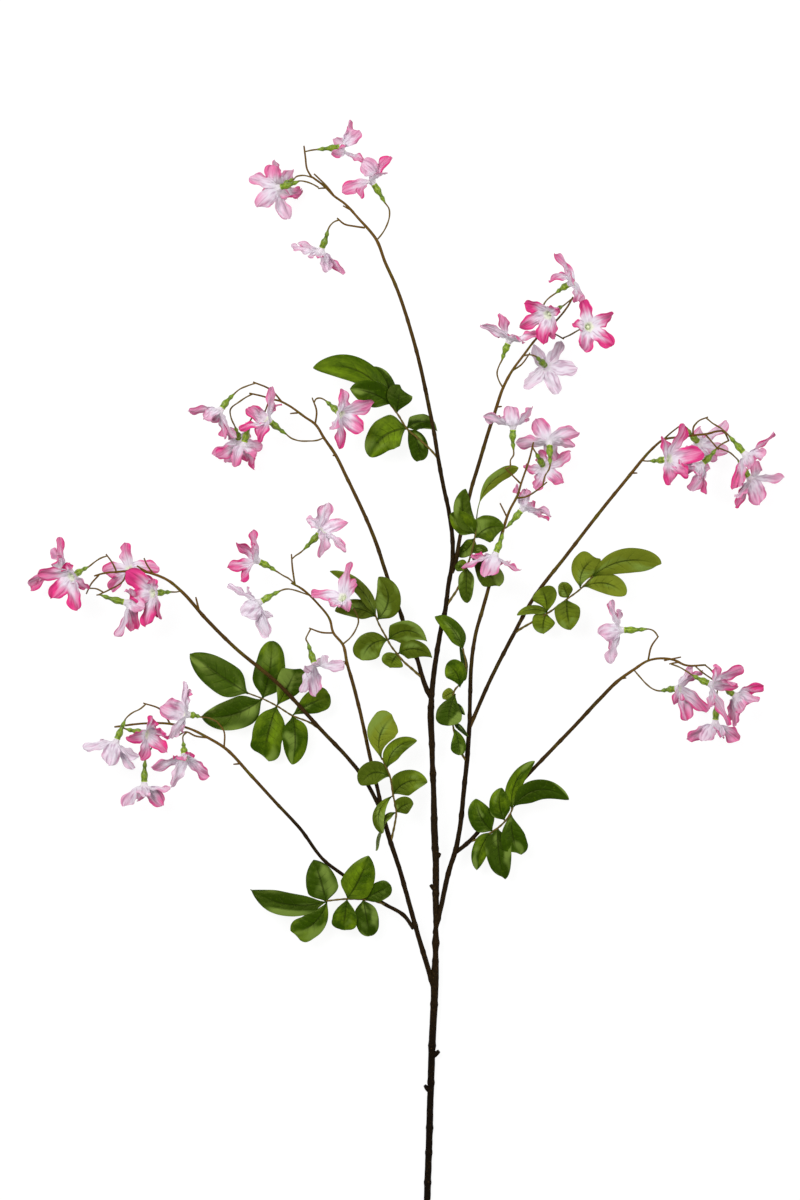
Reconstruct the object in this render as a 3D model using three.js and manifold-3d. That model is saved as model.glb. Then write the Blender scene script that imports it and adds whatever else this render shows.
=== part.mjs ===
// Artificial madagascar jasmine stem, lying on its back: one wire stem that forks into
// nine branches, each with a leafy spray and a head of five drooping blooms.
import * as THREE from 'three';
import Module from 'manifold-3d';

const wasm = await Module();
wasm.setup();

// Sizes in millimetres. Routes are read off a flat layout sheet: x from its left edge,
// y down from its top edge, z up from the surface that the stem lies on.
const SHEET_WIDTH = 800;
const SHEET_HEIGHT = 1200;
const JOINT_GAP = 0.3;

const CALYX_LENGTH = 23;
// Share of the calyx length, then radius: a thin foot, a small knob, a waist, a large knob.
const CALYX_PROFILE = [[0.08, 1.1], [0.7, 3.5], [1, 3.1]];
const CALYX_SIDES = 4;
const PEDICEL_STEP = 7;
const PEDICEL_RADIUS = 0.75;
const TWIG_SIDES = 4;
const STALK_SIDES = 5;
const TRUNK_SIDES = 8;

const TUBE_FOOT_RADIUS = 2.5;
const TUBE_NECK_RADIUS = 3.0;
const THROAT_RADIUS = 2.3;
const TUBE_LENGTH = 4.5;
const THROAT_DEPTH = 2.0;
const PETAL_REACH = 26;
const PETAL_WIDTH = 15;
const PETAL_ROOM = 0.9;
const LEAST_PETAL_WIDTH = 4.5;
const PETAL_THICKNESS = 0.7;
const PETAL_CREASE = 0.9;

const LEAF_THICKNESS = 0.8;
const LEAF_FOLD = 0.07;
const LEAF_STALK_WIDTH = 1.3;

const BARK = { color: '#2d211a', roughness: 0.75, metalness: 0 };
const PINK = { color: '#e79cc0', roughness: 0.85, metalness: 0 };
const PALE = { color: '#d9c3da', roughness: 0.85, metalness: 0 };
const LEAF_GREEN = { color: '#3f6413', roughness: 0.6, metalness: 0 };

const Z_AXIS = new THREE.Vector3(0, 0, 1);
const X_AXIS = new THREE.Vector3(1, 0, 0);
const at = (x, y, z) => new THREE.Vector3(x - SHEET_WIDTH / 2, SHEET_HEIGHT - y, z);
const mix = (a, b, t) => a + (b - a) * t;
const cross = (a, b) => new THREE.Vector3().crossVectors(a, b);
const plus = (p, ...steps) => {
  const q = p.clone();
  for (const [v, s] of steps) q.addScaledVector(v, s);
  return q;
};

// A closed round body along a row of [x, y, z, radius] stations.
function tube(rows, sides) {
  const centres = rows.map(([x, y, z]) => at(x, y, z));
  const body = { v: [], f: [] };
  let across = null;
  centres.forEach((c, i) => {
    const before = centres[Math.max(i - 1, 0)];
    const after = centres[Math.min(i + 1, centres.length - 1)];
    const along = after.clone().sub(before).normalize();
    if (!across) across = cross(along, Math.abs(along.z) > 0.95 ? X_AXIS : Z_AXIS);
    across.addScaledVector(along, -across.dot(along)).normalize();
    const up = cross(across, along);
    for (let k = 0; k < sides; k++) {
      const angle = (2 * Math.PI * k) / sides - Math.PI / 2;
      const r = rows[i][3];
      body.v.push(plus(c, [across, r * Math.cos(angle)], [up, r * Math.sin(angle)]));
    }
  });
  const last = (centres.length - 1) * sides;
  for (let i = 0; i < last; i += sides) {
    for (let k = 0; k < sides; k++) {
      const n = (k + 1) % sides;
      body.f.push([i + k, i + sides + k, i + n], [i + sides + k, i + sides + n, i + n]);
    }
  }
  for (let k = 1; k < sides - 1; k++) {
    body.f.push([0, k, k + 1], [last, last + k + 1, last + k]);
  }
  return body;
}

// Joins two rows of points across a blade; turned round for its under face.
function strip(body, rowA, rowB, under) {
  let i = 0;
  let j = 0;
  while (i < rowA.length - 1 || j < rowB.length - 1) {
    const stepA = i < rowA.length - 1 ? (i + 1) / (rowA.length - 1) : 2;
    const stepB = j < rowB.length - 1 ? (j + 1) / (rowB.length - 1) : 2;
    const tri = stepB <= stepA ? [rowA[i], rowB[j], rowB[++j]] : [rowA[i], rowB[j], rowA[++i]];
    body.f.push(under ? [tri[0], tri[2], tri[1]] : tri);
  }
}

// Adds one blade to a body: each station has a row of top and a row of under points.
function blade(body, stations) {
  for (let s = 0; s < stations.length - 1; s++) {
    const [a, b] = [stations[s], stations[s + 1]];
    strip(body, a.top, b.top, false);
    strip(body, a.under, b.under, true);
    const [ta, ua, tb, ub] = [a.top, a.under, b.top, b.under];
    body.f.push([ta[0], ua[0], tb[0]]);
    body.f.push([ua.at(-1), ta.at(-1), tb.at(-1)]);
    if (tb[0] !== ub[0]) {
      body.f.push([ua[0], ub[0], tb[0]]);
      body.f.push([ua.at(-1), tb.at(-1), ub.at(-1)]);
    }
  }
}

// Makes a station of 1, 2 or 3 points a side, creased at its middle.
function station(body, centre, wide, normal, width, thickness, crease, count) {
  const put = (p) => body.v.push(p) - 1;
  if (count === 1) {
    const tip = put(centre);
    return { top: [tip], under: [tip] };
  }
  const shares = count === 2 ? [-0.5, 0.5] : [-0.5, 0, 0.5];
  const row = (side) => shares.map((s) => put(plus(
    centre, [wide, s * width], [normal, side * thickness / 2 - (s === 0 ? crease : 0)])));
  return { top: row(1), under: row(-1) };
}

// The direction across a blade, tilted until it shows the wanted share of its width.
function widthAcross(along, share, like) {
  const flat = cross(Z_AXIS, along);
  if (flat.length() < 0.05) return cross(like, along).cross(along).negate().normalize();
  flat.normalize();
  const steep = cross(along, flat).normalize();
  const tilt = Math.sqrt(Math.max(0, 1 - share * share));
  if (flat.dot(like) < 0) flat.negate();
  if (steep.dot(like) < 0) steep.negate();
  return plus(new THREE.Vector3(), [flat, share], [steep, tilt]).normalize();
}

// Calyx foot, top and direction of a bloom on the sheet.
function calyxOf(bloom) {
  const [bx, by, tx, ty] = bloom.calyx;
  const rise = Math.sqrt(Math.max(CALYX_LENGTH ** 2 - (tx - bx) ** 2 - (ty - by) ** 2, 0));
  const top = at(tx, ty, bloom.z);
  const foot = at(bx, by, bloom.z - rise * bloom.lean);
  return { foot, top, axis: top.clone().sub(foot).normalize() };
}

// One bloom's fused petals: a short tube that opens into five blades. Each petal row is
// [tip x, tip y, share of its free depth towards the viewer, width seen].
function corolla(bloom) {
  const { top, axis } = calyxOf(bloom);
  const neck = plus(top, [axis, TUBE_LENGTH]);
  const side = cross(axis, Math.abs(axis.z) > 0.9 ? X_AXIS : Z_AXIS).normalize();
  const rear = cross(axis, side);
  const petals = bloom.petals.map(([x, y, depth, width]) => {
    const flat = at(x, y, neck.z).sub(neck);
    const free = Math.sqrt(Math.max(PETAL_REACH ** 2 - flat.lengthSq(), 0));
    const tip = plus(neck, [flat, 1], [Z_AXIS, free * depth]);
    if (tip.z < bloom.floor) tip.z = bloom.floor;
    const out = tip.clone().sub(neck);
    return { tip, width, angle: Math.atan2(out.dot(rear), out.dot(side)) };
  }).sort((a, b) => a.angle - b.angle);
  const fifth = (2 * Math.PI) / 5;
  let sum = new THREE.Vector2();
  petals.forEach((p, i) => {
    const a = p.angle - i * fifth;
    sum.add(new THREE.Vector2(Math.cos(a), Math.sin(a)));
  });
  const start = Math.atan2(sum.y, sum.x);
  const body = { v: [], f: [] };
  const spoke = (angle) => plus(
    new THREE.Vector3(), [side, Math.cos(angle)], [rear, Math.sin(angle)]);
  const ring = (radius, along) => petals.map((p, i) => body.v.push(plus(
    top, [axis, along], [spoke(start + (i - 0.5) * fifth), radius])) - 1);
  const foot = ring(TUBE_FOOT_RADIUS, JOINT_GAP);
  const outer = ring(TUBE_NECK_RADIUS, TUBE_LENGTH);
  const inner = ring(THROAT_RADIUS, TUBE_LENGTH + 0.9);
  const pit = body.v.push(plus(top, [axis, TUBE_LENGTH + 0.9 - THROAT_DEPTH])) - 1;
  const routes = petals.map((petal, i) => {
    const out = spoke(start + i * fifth);
    const root = plus(neck, [axis, 0.45], [out, TUBE_NECK_RADIUS * 0.8]);
    const bend = plus(root, [axis, 5], [out, 4]);
    return (t) => plus(new THREE.Vector3(),
      [root, (1 - t) ** 2], [bend, 2 * t * (1 - t)], [petal.tip, t * t]);
  });
  // The room between a petal and its nearer neighbour, at the same share of their length.
  const room = (i, t) => Math.min(...[1, 4].map(
    (k) => routes[i](t).distanceTo(routes[(i + k) % 5](t))));
  petals.forEach((petal, i) => {
    const n = (i + 1) % 5;
    body.f.push([foot[i], foot[n], outer[i]], [foot[n], outer[n], outer[i]]);
    body.f.push([pit, inner[i], inner[n]]);
    if (i > 0 && i < 4) body.f.push([foot[0], foot[i + 1], foot[i]]);
    const out = spoke(start + i * fifth);
    const round = cross(axis, out);
    const point = routes[i];
    const root = point(0);
    const share = Math.min(petal.width / PETAL_WIDTH, 1);
    const wideEnd = widthAcross(petal.tip.clone().sub(root).normalize(), share, round);
    const full = Math.max(petal.width, PETAL_WIDTH * 0.8);
    const rows = [[0.46, 0.78, 2], [0.8, 1, petal.width < 11 ? 2 : 3], [1, 0, 1]];
    const stations = [{ top: [inner[i], inner[n]], under: [outer[i], outer[n]] }];
    for (const [t, share2, count] of rows) {
      const along = point(Math.min(t + 0.05, 1)).sub(point(t - 0.05)).normalize();
      const wide = plus(new THREE.Vector3(), [round, 1 - t], [wideEnd, t]);
      wide.addScaledVector(along, -wide.dot(along)).normalize();
      stations.push(station(body, point(t), wide, cross(along, wide),
        Math.min(full * share2, Math.max(room(i, t) * PETAL_ROOM, LEAST_PETAL_WIDTH)),
        PETAL_THICKNESS, PETAL_CREASE, count));
    }
    blade(body, stations);
  });
  return body;
}

// One leaf blade from [foot x, foot y, tip x, tip y, width seen, foot z, tip z, bow to the
// left, arch towards the viewer, tilt in degrees, fullness towards the tip].
function leaf(row) {
  const [fx, fy, tx, ty, seen, fz, tz, bow = 0, arch = 3, tilt = 0, tipwards = 0] = row;
  const body = { v: [], f: [] };
  const foot = at(fx, fy, fz);
  const tip = at(tx, ty, tz);
  const straight = tip.clone().sub(foot);
  const left = cross(Z_AXIS, straight).normalize();
  const point = (t) => plus(foot, [straight, t], [left, bow * 4 * t * (1 - t)],
    [Z_AXIS, arch * 4 * t * (1 - t)]);
  const lean = THREE.MathUtils.degToRad(tilt);
  const full = seen / Math.cos(lean);
  const slim = seen < 13 ? 2 : 3;
  const rows = [[0, 0, 2], [0.36, 0.96 - 0.16 * tipwards, slim],
    [0.72, 0.88 + 0.16 * tipwards, slim], [1, 0, 1]];
  const stations = rows.map(([t, share, count]) => {
    const along = point(Math.min(t + 0.05, 1)).sub(point(Math.max(t - 0.05, 0))).normalize();
    const flat = cross(Z_AXIS, along).normalize();
    const steep = cross(along, flat);
    const wide = plus(new THREE.Vector3(), [flat, Math.cos(lean)], [steep, Math.sin(lean)]);
    const width = t === 0 ? LEAF_STALK_WIDTH : full * share;
    const centre = t === 0 ? plus(foot, [along, 0.3]) : point(t);
    return station(body, centre, wide, cross(along, wide), width,
      LEAF_THICKNESS, width * LEAF_FOLD, count);
  });
  blade(body, stations);
  const { top, under } = stations[0];
  body.f.push([top[0], top[1], under[0]], [top[1], under[1], under[0]]);
  return body;
}

const solidOf = (body) => new wasm.Manifold(new wasm.Mesh({
  numProp: 3,
  vertProperties: new Float32Array(body.v.flatMap((p) => p.toArray())),
  triVerts: new Uint32Array(body.f.flat()),
}));

function fuse(bodies) {
  const solid = bodies.map(solidOf).reduce((all, next) => all.add(next));
  return bodyOf(solid);
}

function bodyOf(solid) {
  const mesh = solid.getMesh();
  const v = [];
  for (let i = 0; i < mesh.vertProperties.length; i += mesh.numProp) {
    v.push(new THREE.Vector3(...mesh.vertProperties.slice(i, i + 3)));
  }
  const f = [];
  for (let i = 0; i < mesh.triVerts.length; i += 3) f.push([...mesh.triVerts.slice(i, i + 3)]);
  return { v, f };
}

function meshOf(name, body, look) {
  const geometry = new THREE.BufferGeometry();
  geometry.setAttribute('position', new THREE.Float32BufferAttribute(
    body.v.flatMap((p) => p.toArray()), 3));
  geometry.setIndex(body.f.flat());
  geometry.computeVertexNormals();
  const mesh = new THREE.Mesh(geometry, new THREE.MeshStandardMaterial(look));
  mesh.name = name;
  return mesh;
}

// Woody routes: [x, y, z, radius] along each stalk and twig.
const TRUNK = [
  [427, 1240, 3.5, 3.5], [427.4, 1200, 3.5, 3.4], [429.3, 1142, 4.2, 3.4],
  [430.8, 1091, 5, 3.4], [432.5, 1040, 6.5, 3.6], [434.4, 1002, 8, 3.7], [435.1, 976, 9.5, 3.9],
  [435.8, 948, 11, 3.4], [435.8, 944, 11.1, 4.1], [435.9, 940, 11.3, 3.4], [435.9, 900, 13, 3.3],
  [435.7, 856, 14.5, 3.4], [434.6, 834, 15.2, 3.5], [434, 807, 16, 3.1], [433.2, 778, 17, 3.1],
  [433, 774, 17.1, 3.6], [432.8, 770, 17.2, 3], [432, 745, 18, 3], [430.9, 709, 19.5, 3.2],
  [431.6, 698, 19.9, 2.8],
];
const LEADER = [
  [431.2, 703, 19.8, 2.5], [432, 692, 20, 2.8], [435.4, 663, 21.5, 2.5],
  [439.8, 636, 23, 2.4], [445.6, 608, 24.5, 2.3], [449, 582, 26, 2.1],
  [452, 566, 27, 2.1], [452.4, 537, 28.5, 2], [449, 512, 30, 1.9],
  [443, 484, 31.5, 1.9], [438, 457, 33, 1.9], [434.5, 435, 34, 1.8], [428, 402, 35.5, 1.8],
  [419.3, 362, 37, 1.7], [410.6, 330, 38, 1.6], [395, 284, 39.5, 1.5], [385, 262, 40, 1.4],
  [377, 241, 40.5, 1.3], [358, 218, 41, 1.1], [345, 204, 41, 1], [334, 196, 41, 1],
  [324, 186, 40.5, 0.9], [312, 177, 40, 0.9],
];
const TRUNK_KNOBS = [
  [[432, 1056, 6.2, 2.2], [436.5, 1054.6, 6.2, 2], [439, 1053, 6.2, 1.3]],
  [[430.5, 1091, 5, 1.8], [424.9, 1088, 5, 1.1]],
  [[435.9, 889, 13.3, 2], [430.8, 886, 13.5, 1.2]],
  [[435.7, 858, 14.4, 2], [438.9, 855, 14.6, 1.3]],
];
const TOP_TWIGS = [
  [[334, 196, 41, 0.9], [328, 188, 42.5, 0.8], [314, 174, 43.5, 0.7]],
  [[312, 178, 40, 0.9], [307, 169, 41, 0.8], [305.5, 158, 42.5, 0.8], [304, 146, 44, 0.7]],
  [[365, 228, 41, 0.9], [355, 226.5, 41, 0.8], [344, 224, 40, 0.8], [337, 218, 39, 0.7]],
  [[354, 212, 41, 0.8], [343, 206, 43.5, 0.6]],
  [[327, 188, 40.6, 0.8], [318, 188.5, 39.5, 0.6]],
];
const UPPER_RIGHT_STALK = [
  [452, 573, 26.6, 1.8], [455.7, 562, 27.6, 1.9], [459.3, 541, 29, 1.8], [465, 516, 31, 1.7],
  [471, 490, 33, 1.7], [480, 460, 35.5, 1.7], [488.7, 431, 38, 1.6], [494.5, 413.5, 40, 1.5],
  [503, 388, 42, 1.3], [512, 371, 43, 1.1], [523, 356, 43.5, 1], [537, 338, 43.5, 0.9],
  [555, 322, 43, 0.8], [568, 306, 42, 0.8], [573, 297, 41.5, 0.7],
];
const UPPER_RIGHT_TWIGS = [
  [[497, 407, 40.6, 0.9], [502, 406.5, 41, 0.6]],
  [[512, 371, 43, 0.8], [521, 365, 45, 0.7], [530, 353, 46.5, 0.6]],
  [[537, 338, 43.5, 0.8], [551, 333, 39, 0.7], [564, 339, 37, 0.6]],
];
const UPPER_LEFT_STALK = [
  [432, 700, 19.5, 2.2], [427, 690, 19, 2.5], [422, 676, 18.5, 2.3], [417.5, 660, 18, 2.1],
  [409, 640, 18, 2], [400.5, 613, 18.5, 1.9], [389, 582, 20, 1.8], [375, 540, 23, 1.7],
  [346, 476, 29, 1.5], [335, 454, 31, 1.4], [324, 438, 32.5, 1.2], [315, 424, 33.5, 1.1],
  [305, 417, 34, 1], [288, 405, 35, 0.9], [280, 401, 35, 0.9], [271, 399, 35, 0.8],
];
const UPPER_LEFT_TWIGS = [
  [[336, 455, 31, 1], [332.5, 455.5, 31, 0.7]],
  [[298, 412.8, 34.4, 0.8], [290, 413.5, 36, 0.6]],
  [[282, 402, 35, 0.8], [271, 390, 37, 0.8], [253, 382, 39, 0.7]],
  [[273, 399.5, 35, 0.8], [262, 396, 33, 0.8], [249, 393, 31, 0.7]],
  [[270, 398.5, 35, 0.8], [267, 406, 34, 0.7], [264.5, 413, 33, 0.6]],
  [[315, 425, 33.5, 0.8], [316.5, 411, 35.5, 0.8], [312, 397.5, 37, 0.6]],
];
const LEFT_FORK = [
  [434.5, 992, 9, 2.6], [428, 969, 10.5, 2.6], [418, 936, 12, 2.4], [408, 900, 14, 2.3],
  [399.6, 870, 15.5, 2.2], [390, 841, 17, 2.3], [382, 812, 19, 2],
];
const LEFT_STALK = [
  [384, 818, 18.6, 1.7], [375.7, 800, 19, 1.9], [362, 776, 20, 1.8], [350, 761, 21, 1.8],
  [321, 730, 24.5, 1.8], [277, 683, 28.5, 1.7], [233, 646, 32, 1.6], [206, 619, 34, 1.6],
  [181, 591, 35.5, 1.4], [169, 581, 36, 1.2], [153.5, 574, 36.5, 1.1], [140, 571, 37, 1],
  [116, 572, 37.5, 0.9], [105, 573, 37.5, 0.8], [94, 576, 37.5, 0.7],
];
const MIDDLE_LEFT_STALK = [
  [383, 815, 19, 1.6], [377, 787, 22, 1.8], [369, 753, 25.5, 1.7], [363.5, 727, 28, 1.6],
  [353, 684, 33, 1.6], [347, 663, 35.5, 1.4], [343, 645, 37, 1.2], [333, 632, 38, 1.1],
  [330, 620, 39, 1], [318, 604, 40, 0.9], [299, 587, 41, 0.9], [291, 583, 41, 0.8],
];
const LEFT_TWIGS = [
  [[199, 611, 34.6, 1], [195.7, 597, 36, 0.7]],
  [[153.5, 574, 36.5, 0.8], [147, 565, 38, 0.7], [144, 558, 39, 0.6]],
  [[149, 573, 36.7, 0.8], [137, 566, 35, 0.6]],
  [[117, 573, 37.5, 0.8], [113, 564, 39, 0.7], [106, 554, 40, 0.6]],
  [[99, 575, 37.5, 0.8], [91, 584, 35, 0.7], [86, 594, 33, 0.6]],
  [[127, 572, 37.2, 0.8], [123, 581, 40, 0.7], [109, 590, 41, 0.7], [98, 595, 41, 0.6]],
  [[348, 667, 35, 0.9], [343.5, 661, 36, 0.7]],
  [[295, 585, 41, 0.8], [292.5, 568, 43, 0.8], [291.5, 554, 44, 0.6]],
  [[334, 633, 38, 0.8], [322, 632.5, 40, 0.8], [309, 628, 41, 0.6]],
];
const LOWER_LEFT_STALK = [
  [413.5, 930, 12.5, 1.7], [405.5, 918, 13.4, 1.8], [383, 904, 14.5, 1.7], [345, 877, 16.5, 1.6],
  [325, 862, 18, 1.5], [299, 828, 21, 1.5], [276.6, 804, 23.5, 1.4], [251, 776, 26, 1.4],
  [223, 747, 28.5, 1.3], [208, 738, 29.5, 1.2], [190, 729, 30, 1], [170, 724, 30.5, 1],
  [145, 723.5, 31, 0.9], [114, 727, 31, 0.8],
];
const LOWER_LEFT_TWIGS = [
  [[239, 764, 27, 0.9], [233, 764.5, 27, 0.6]],
  [[224, 748, 28.5, 0.8], [223.5, 731, 27, 0.7], [216, 721, 25, 0.6]],
  [[170, 724, 30.5, 0.8], [161, 710, 33, 0.8], [143, 703, 36, 0.6]],
  [[155, 723, 31, 0.8], [155, 744, 30, 0.6]],
  [[208, 738, 29.5, 0.8], [195, 736, 32, 0.8], [186, 732, 33, 0.7], [176, 737, 34, 0.6]],
];
const RIGHT_FORK = [
  [434.5, 935, 12, 2.3], [440, 913, 13, 2.4], [449.6, 870, 14.5, 2.5], [456, 850, 15, 2.5],
  [460, 829, 15.5, 2.4], [464, 791, 16.5, 2.3], [467, 763, 17, 2.3], [470, 720, 18.5, 2.1],
];
const MIDDLE_STALK = [
  [469.6, 726, 18.3, 1.8], [470.4, 691, 19.5, 1.9], [471.6, 663, 20.5, 1.8],
  [477, 629, 22, 1.7], [482, 612, 22.8, 1.7], [488.7, 588, 23, 1.6], [498, 549, 26.5, 1.4],
  [504, 527, 28.5, 1.3], [509, 512, 32, 1.1], [518, 494, 37.5, 1], [521, 484, 38, 0.9],
  [530, 457, 39, 0.8], [533.5, 442, 39, 0.7],
];
const MIDDLE_TWIGS = [
  [[507.5, 518, 31, 0.8], [500, 503, 33, 0.6]],
  [[516, 498, 37, 0.8], [525, 497, 39.5, 0.8], [536, 491, 42, 0.7], [547, 482, 43, 0.6]],
  [[521, 484, 38, 0.8], [514, 477, 39, 0.7], [505, 468, 40, 0.6]],
];
const RIGHT_STALK = [
  [469.8, 728, 18.2, 1.6], [479, 706, 18.8, 1.8], [491, 679, 19.5, 1.8], [502, 657, 20, 1.8],
  [514, 634, 21, 1.8], [532, 601, 23, 1.7], [567.6, 554, 28, 1.6], [608, 502, 33, 1.5],
  [630, 475, 36, 1.4], [642, 460, 37.5, 1.3], [652, 449, 38.5, 1.1], [663, 440, 39, 1],
  [681, 437, 39, 0.9], [706, 434, 39, 0.9], [724, 432, 38, 0.8], [729, 441, 37, 0.7],
];
const LOWER_RIGHT_STALK = [
  [455.4, 853.5, 15, 1.7], [460, 850, 15, 2], [469.6, 842, 15.2, 2], [491.6, 816, 16, 1.9],
  [517, 787, 18.5, 1.8], [552, 750, 24, 1.7], [575, 726, 28, 1.7], [600, 699, 32, 1.7],
  [618, 681, 35, 1.5], [634, 669.5, 37, 1.2], [648.5, 660.5, 38, 1], [674, 660, 38.5, 1],
  [685, 665, 38.5, 0.9], [706, 665, 38, 0.8],
];
const RIGHT_TWIGS = [
  [[632, 473, 36.2, 0.9], [637.5, 473, 36.5, 0.6]],
  [[663, 440, 39, 0.8], [670, 433.5, 37, 0.7], [681, 425, 35, 0.6]],
  [[693, 435.5, 39, 0.8], [693.5, 427, 41, 0.8], [698, 421.5, 42, 0.7], [708, 417, 43, 0.6]],
  [[705, 434, 39, 0.8], [711, 441, 41, 0.7], [718.5, 450, 42, 0.6]],
  [[621, 678.5, 35.3, 0.9], [626.5, 678, 35.5, 0.6]],
  [[664, 660.5, 38.2, 0.8], [681, 657, 41, 0.6]],
  [[648, 661, 38, 0.8], [651.5, 646, 40.5, 0.8], [658.5, 636, 42, 0.6]],
  [[680, 662, 38.5, 0.8], [674, 663, 40.5, 0.7], [669, 664, 41.5, 0.6]],
];

// Blooms by head. calyx: its foot and top on the sheet; z: height of its top; lean: share
// of its free depth towards the viewer; pedicel: height at its start, then x, y pairs.
const BLOOMS = {
  top: [
    { calyx: [317, 150, 339.5, 148], z: 47, lean: 0.1, pedicel: [43.5, 305, 152, 312, 150.5],
      petals: [[356, 131, 0.4, 11], [352, 121, -0.3, 5], [365, 160, 0.3, 8],
        [334, 138, -0.8, 7], [337, 156, 0.8, 8]] },
    { calyx: [385, 203, 374, 185], z: 46, lean: 0.2,
      pedicel: [40.5, 377, 240, 382, 234, 387, 225, 389.5, 216, 389, 209],
      petals: [[363, 162, 0.2, 12], [389, 156, -0.2, 10], [387, 174, 0.6, 7],
        [342, 191, 0.2, 12], [359, 197, 0.7, 6]] },
    { calyx: [328, 230, 322, 247], z: 33, lean: -0.5,
      pedicel: [39, 339, 220, 334, 222, 330, 226],
      petals: [[292, 246, 0.1, 7], [298, 243, -0.6, 5], [315, 257, 0.8, 9],
        [328, 271, 0.3, 12], [343, 274, -0.2, 8]] },
    { calyx: [299, 181.5, 281, 187], z: 40, lean: -0.4,
      pedicel: [39.5, 318.5, 187.5, 313, 184.5, 306, 182],
      petals: [[250, 177, -0.2, 12], [258, 207, 0, 14], [289, 219, 0, 14],
        [271, 164, -0.1, 10], [296, 199, -0.5, 7]] },
    { calyx: [294, 179, 284, 185], z: 20, lean: -0.95, floor: 0,
      pedicel: [40, 312.5, 177.5, 302, 175.5, 296, 177],
      petals: [[275, 160, -0.6, 9], [290, 168, -0.8, 8], [262, 190, -2, 10],
        [280, 208, -0.6, 10], [300, 190, -0.7, 8]] },
  ],
  upper_right: [
    { calyx: [556, 293, 568, 285], z: 44, lean: 0.3,
      pedicel: [43.4, 540, 335, 540, 318, 546, 301],
      petals: [[556, 254, 0.1, 8], [549, 278, 0.2, 7], [571, 272, 0.9, 7],
        [576, 303, 0.4, 8], [583, 306, -0.5, 6]] },
    { calyx: [563, 306, 550, 314], z: 56, lean: 0.95, pedicel: [42, 572, 299, 568, 302],
      petals: [[524, 306, 0.5, 13], [520, 328, 0.5, 12], [541, 344, 0.5, 14],
        [553, 340, 0.4, 8], [558, 310, 0.6, 9]] },
    { calyx: [502, 360, 508, 344], z: 46, lean: 0.1,
      pedicel: [42, 503, 388, 499, 381, 497, 373, 499, 366],
      petals: [[483, 324, 0.2, 10], [503, 315, -0.3, 11], [538, 333, 0.3, 8],
        [523, 341, 0.7, 7], [497, 333, -0.8, 7]] },
    { calyx: [581, 329, 587, 328], z: 62, lean: 0.97,
      pedicel: [37, 563, 338, 570, 335, 577, 331],
      petals: [[583, 301, 0.4, 11], [612, 317, 0.4, 12], [611, 347, 0.4, 14],
        [584, 352, 0.4, 14], [572, 325, 0.5, 7]] },
    { calyx: [536, 357, 545, 365], z: 30, lean: -0.97, pedicel: [43.5, 523, 356, 530, 355],
      petals: [[533, 345, -0.3, 9], [562, 341, -0.3, 12], [577, 368, -0.3, 14],
        [559, 393, -0.3, 14], [524, 386, -0.3, 13]] },
  ],
  upper_left: [
    { calyx: [234, 394, 222, 408], z: 38, lean: 0.2, pedicel: [39, 256, 383, 247, 386, 240, 389],
      petals: [[189, 413, 0.1, 9], [204, 419, 0.5, 10], [212, 421, -0.4, 8],
        [224, 438, 0.3, 8], [236, 438, -0.3, 7]] },
    { calyx: [235, 427, 238, 438], z: 14, lean: -0.6,
      pedicel: [31, 252, 394, 246, 397, 240, 401, 230, 410, 231, 418],
      petals: [[213, 455, -0.2, 10], [225, 462, -0.5, 10], [262, 445, -0.4, 10],
        [250, 425, 0.1, 8], [228, 428, -0.2, 8]] },
    { calyx: [250, 421, 244, 442], z: 30, lean: 0.3, pedicel: [33, 264.5, 411, 258, 412, 253, 416],
      petals: [[216, 457, 0.2, 12], [235, 467, 0.5, 12], [254, 468, 0.2, 9],
        [257, 453, 0.5, 9], [246, 462, -0.9, 9]] },
    { calyx: [286, 434, 271, 422], z: 44, lean: 0.4,
      pedicel: [33, 323, 438, 318, 440, 308, 441, 298, 440.5, 291, 438],
      petals: [[272, 387, 0.3, 11], [248, 408, 0.4, 13], [239, 428, 0.3, 9],
        [258, 441, 0.4, 12], [279, 402, -0.3, 7]] },
    { calyx: [326, 401, 338, 412], z: 46, lean: 0.5,
      pedicel: [36.5, 314, 403, 316, 399, 319, 398, 323, 399],
      petals: [[345, 390, 0.2, 9], [373, 405, 0.4, 14], [363, 431, 0.4, 14],
        [341, 449, 0.3, 9], [333, 431, 0.4, 8]] },
  ],
  left: [
    { calyx: [88, 567, 75, 575], z: 44, lean: 0.6, pedicel: [40, 107, 556, 101, 558, 96, 561],
      petals: [[38, 575, 0.3, 12], [53, 598, 0.4, 13], [76, 611, 0.3, 14],
        [66, 562, 0.3, 9], [86, 590, -0.3, 8]] },
    { calyx: [76, 584, 62, 572], z: 22, lean: -0.3, floor: 0,
      pedicel: [41, 103, 592, 97, 589, 88, 588, 80, 586],
      petals: [[51, 549, 0.1, 10], [59, 537, -0.2, 9], [58, 557, 0.6, 6],
        [27, 583, 0, 9], [30, 590, -2, 7]] },
    { calyx: [101, 595, 124, 602], z: 46, lean: 0, pedicel: [41, 97, 595],
      petals: [[118, 636, 0.3, 12], [132, 630, -0.3, 8], [139, 629, 0.3, 8],
        [145, 606, 0.6, 10], [127, 592, 0.6, 9]] },
    { calyx: [171, 592, 157, 593], z: 48, lean: 0.5, pedicel: [35.5, 181, 591, 176, 592],
      petals: [[146, 624, 0.4, 13], [158, 619, 0.5, 5], [137, 600, 0.5, 8],
        [125, 577, 0.3, 14], [152, 585, 0.4, 9]] },
    { calyx: [140, 580, 131, 572], z: 20, lean: 0.4,
      pedicel: [35, 137, 566, 142, 570, 143, 577],
      petals: [[127, 542, 0.2, 12], [104, 572, 0.1, 12], [110, 590, 0.1, 10],
        [159, 569, 0.1, 10], [153, 586, 0, 9]] },
  ],
  middle_left: [
    { calyx: [304, 549.5, 319, 534], z: 48, lean: 0.3, pedicel: [44, 292, 559, 296, 555.5, 300, 553],
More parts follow.
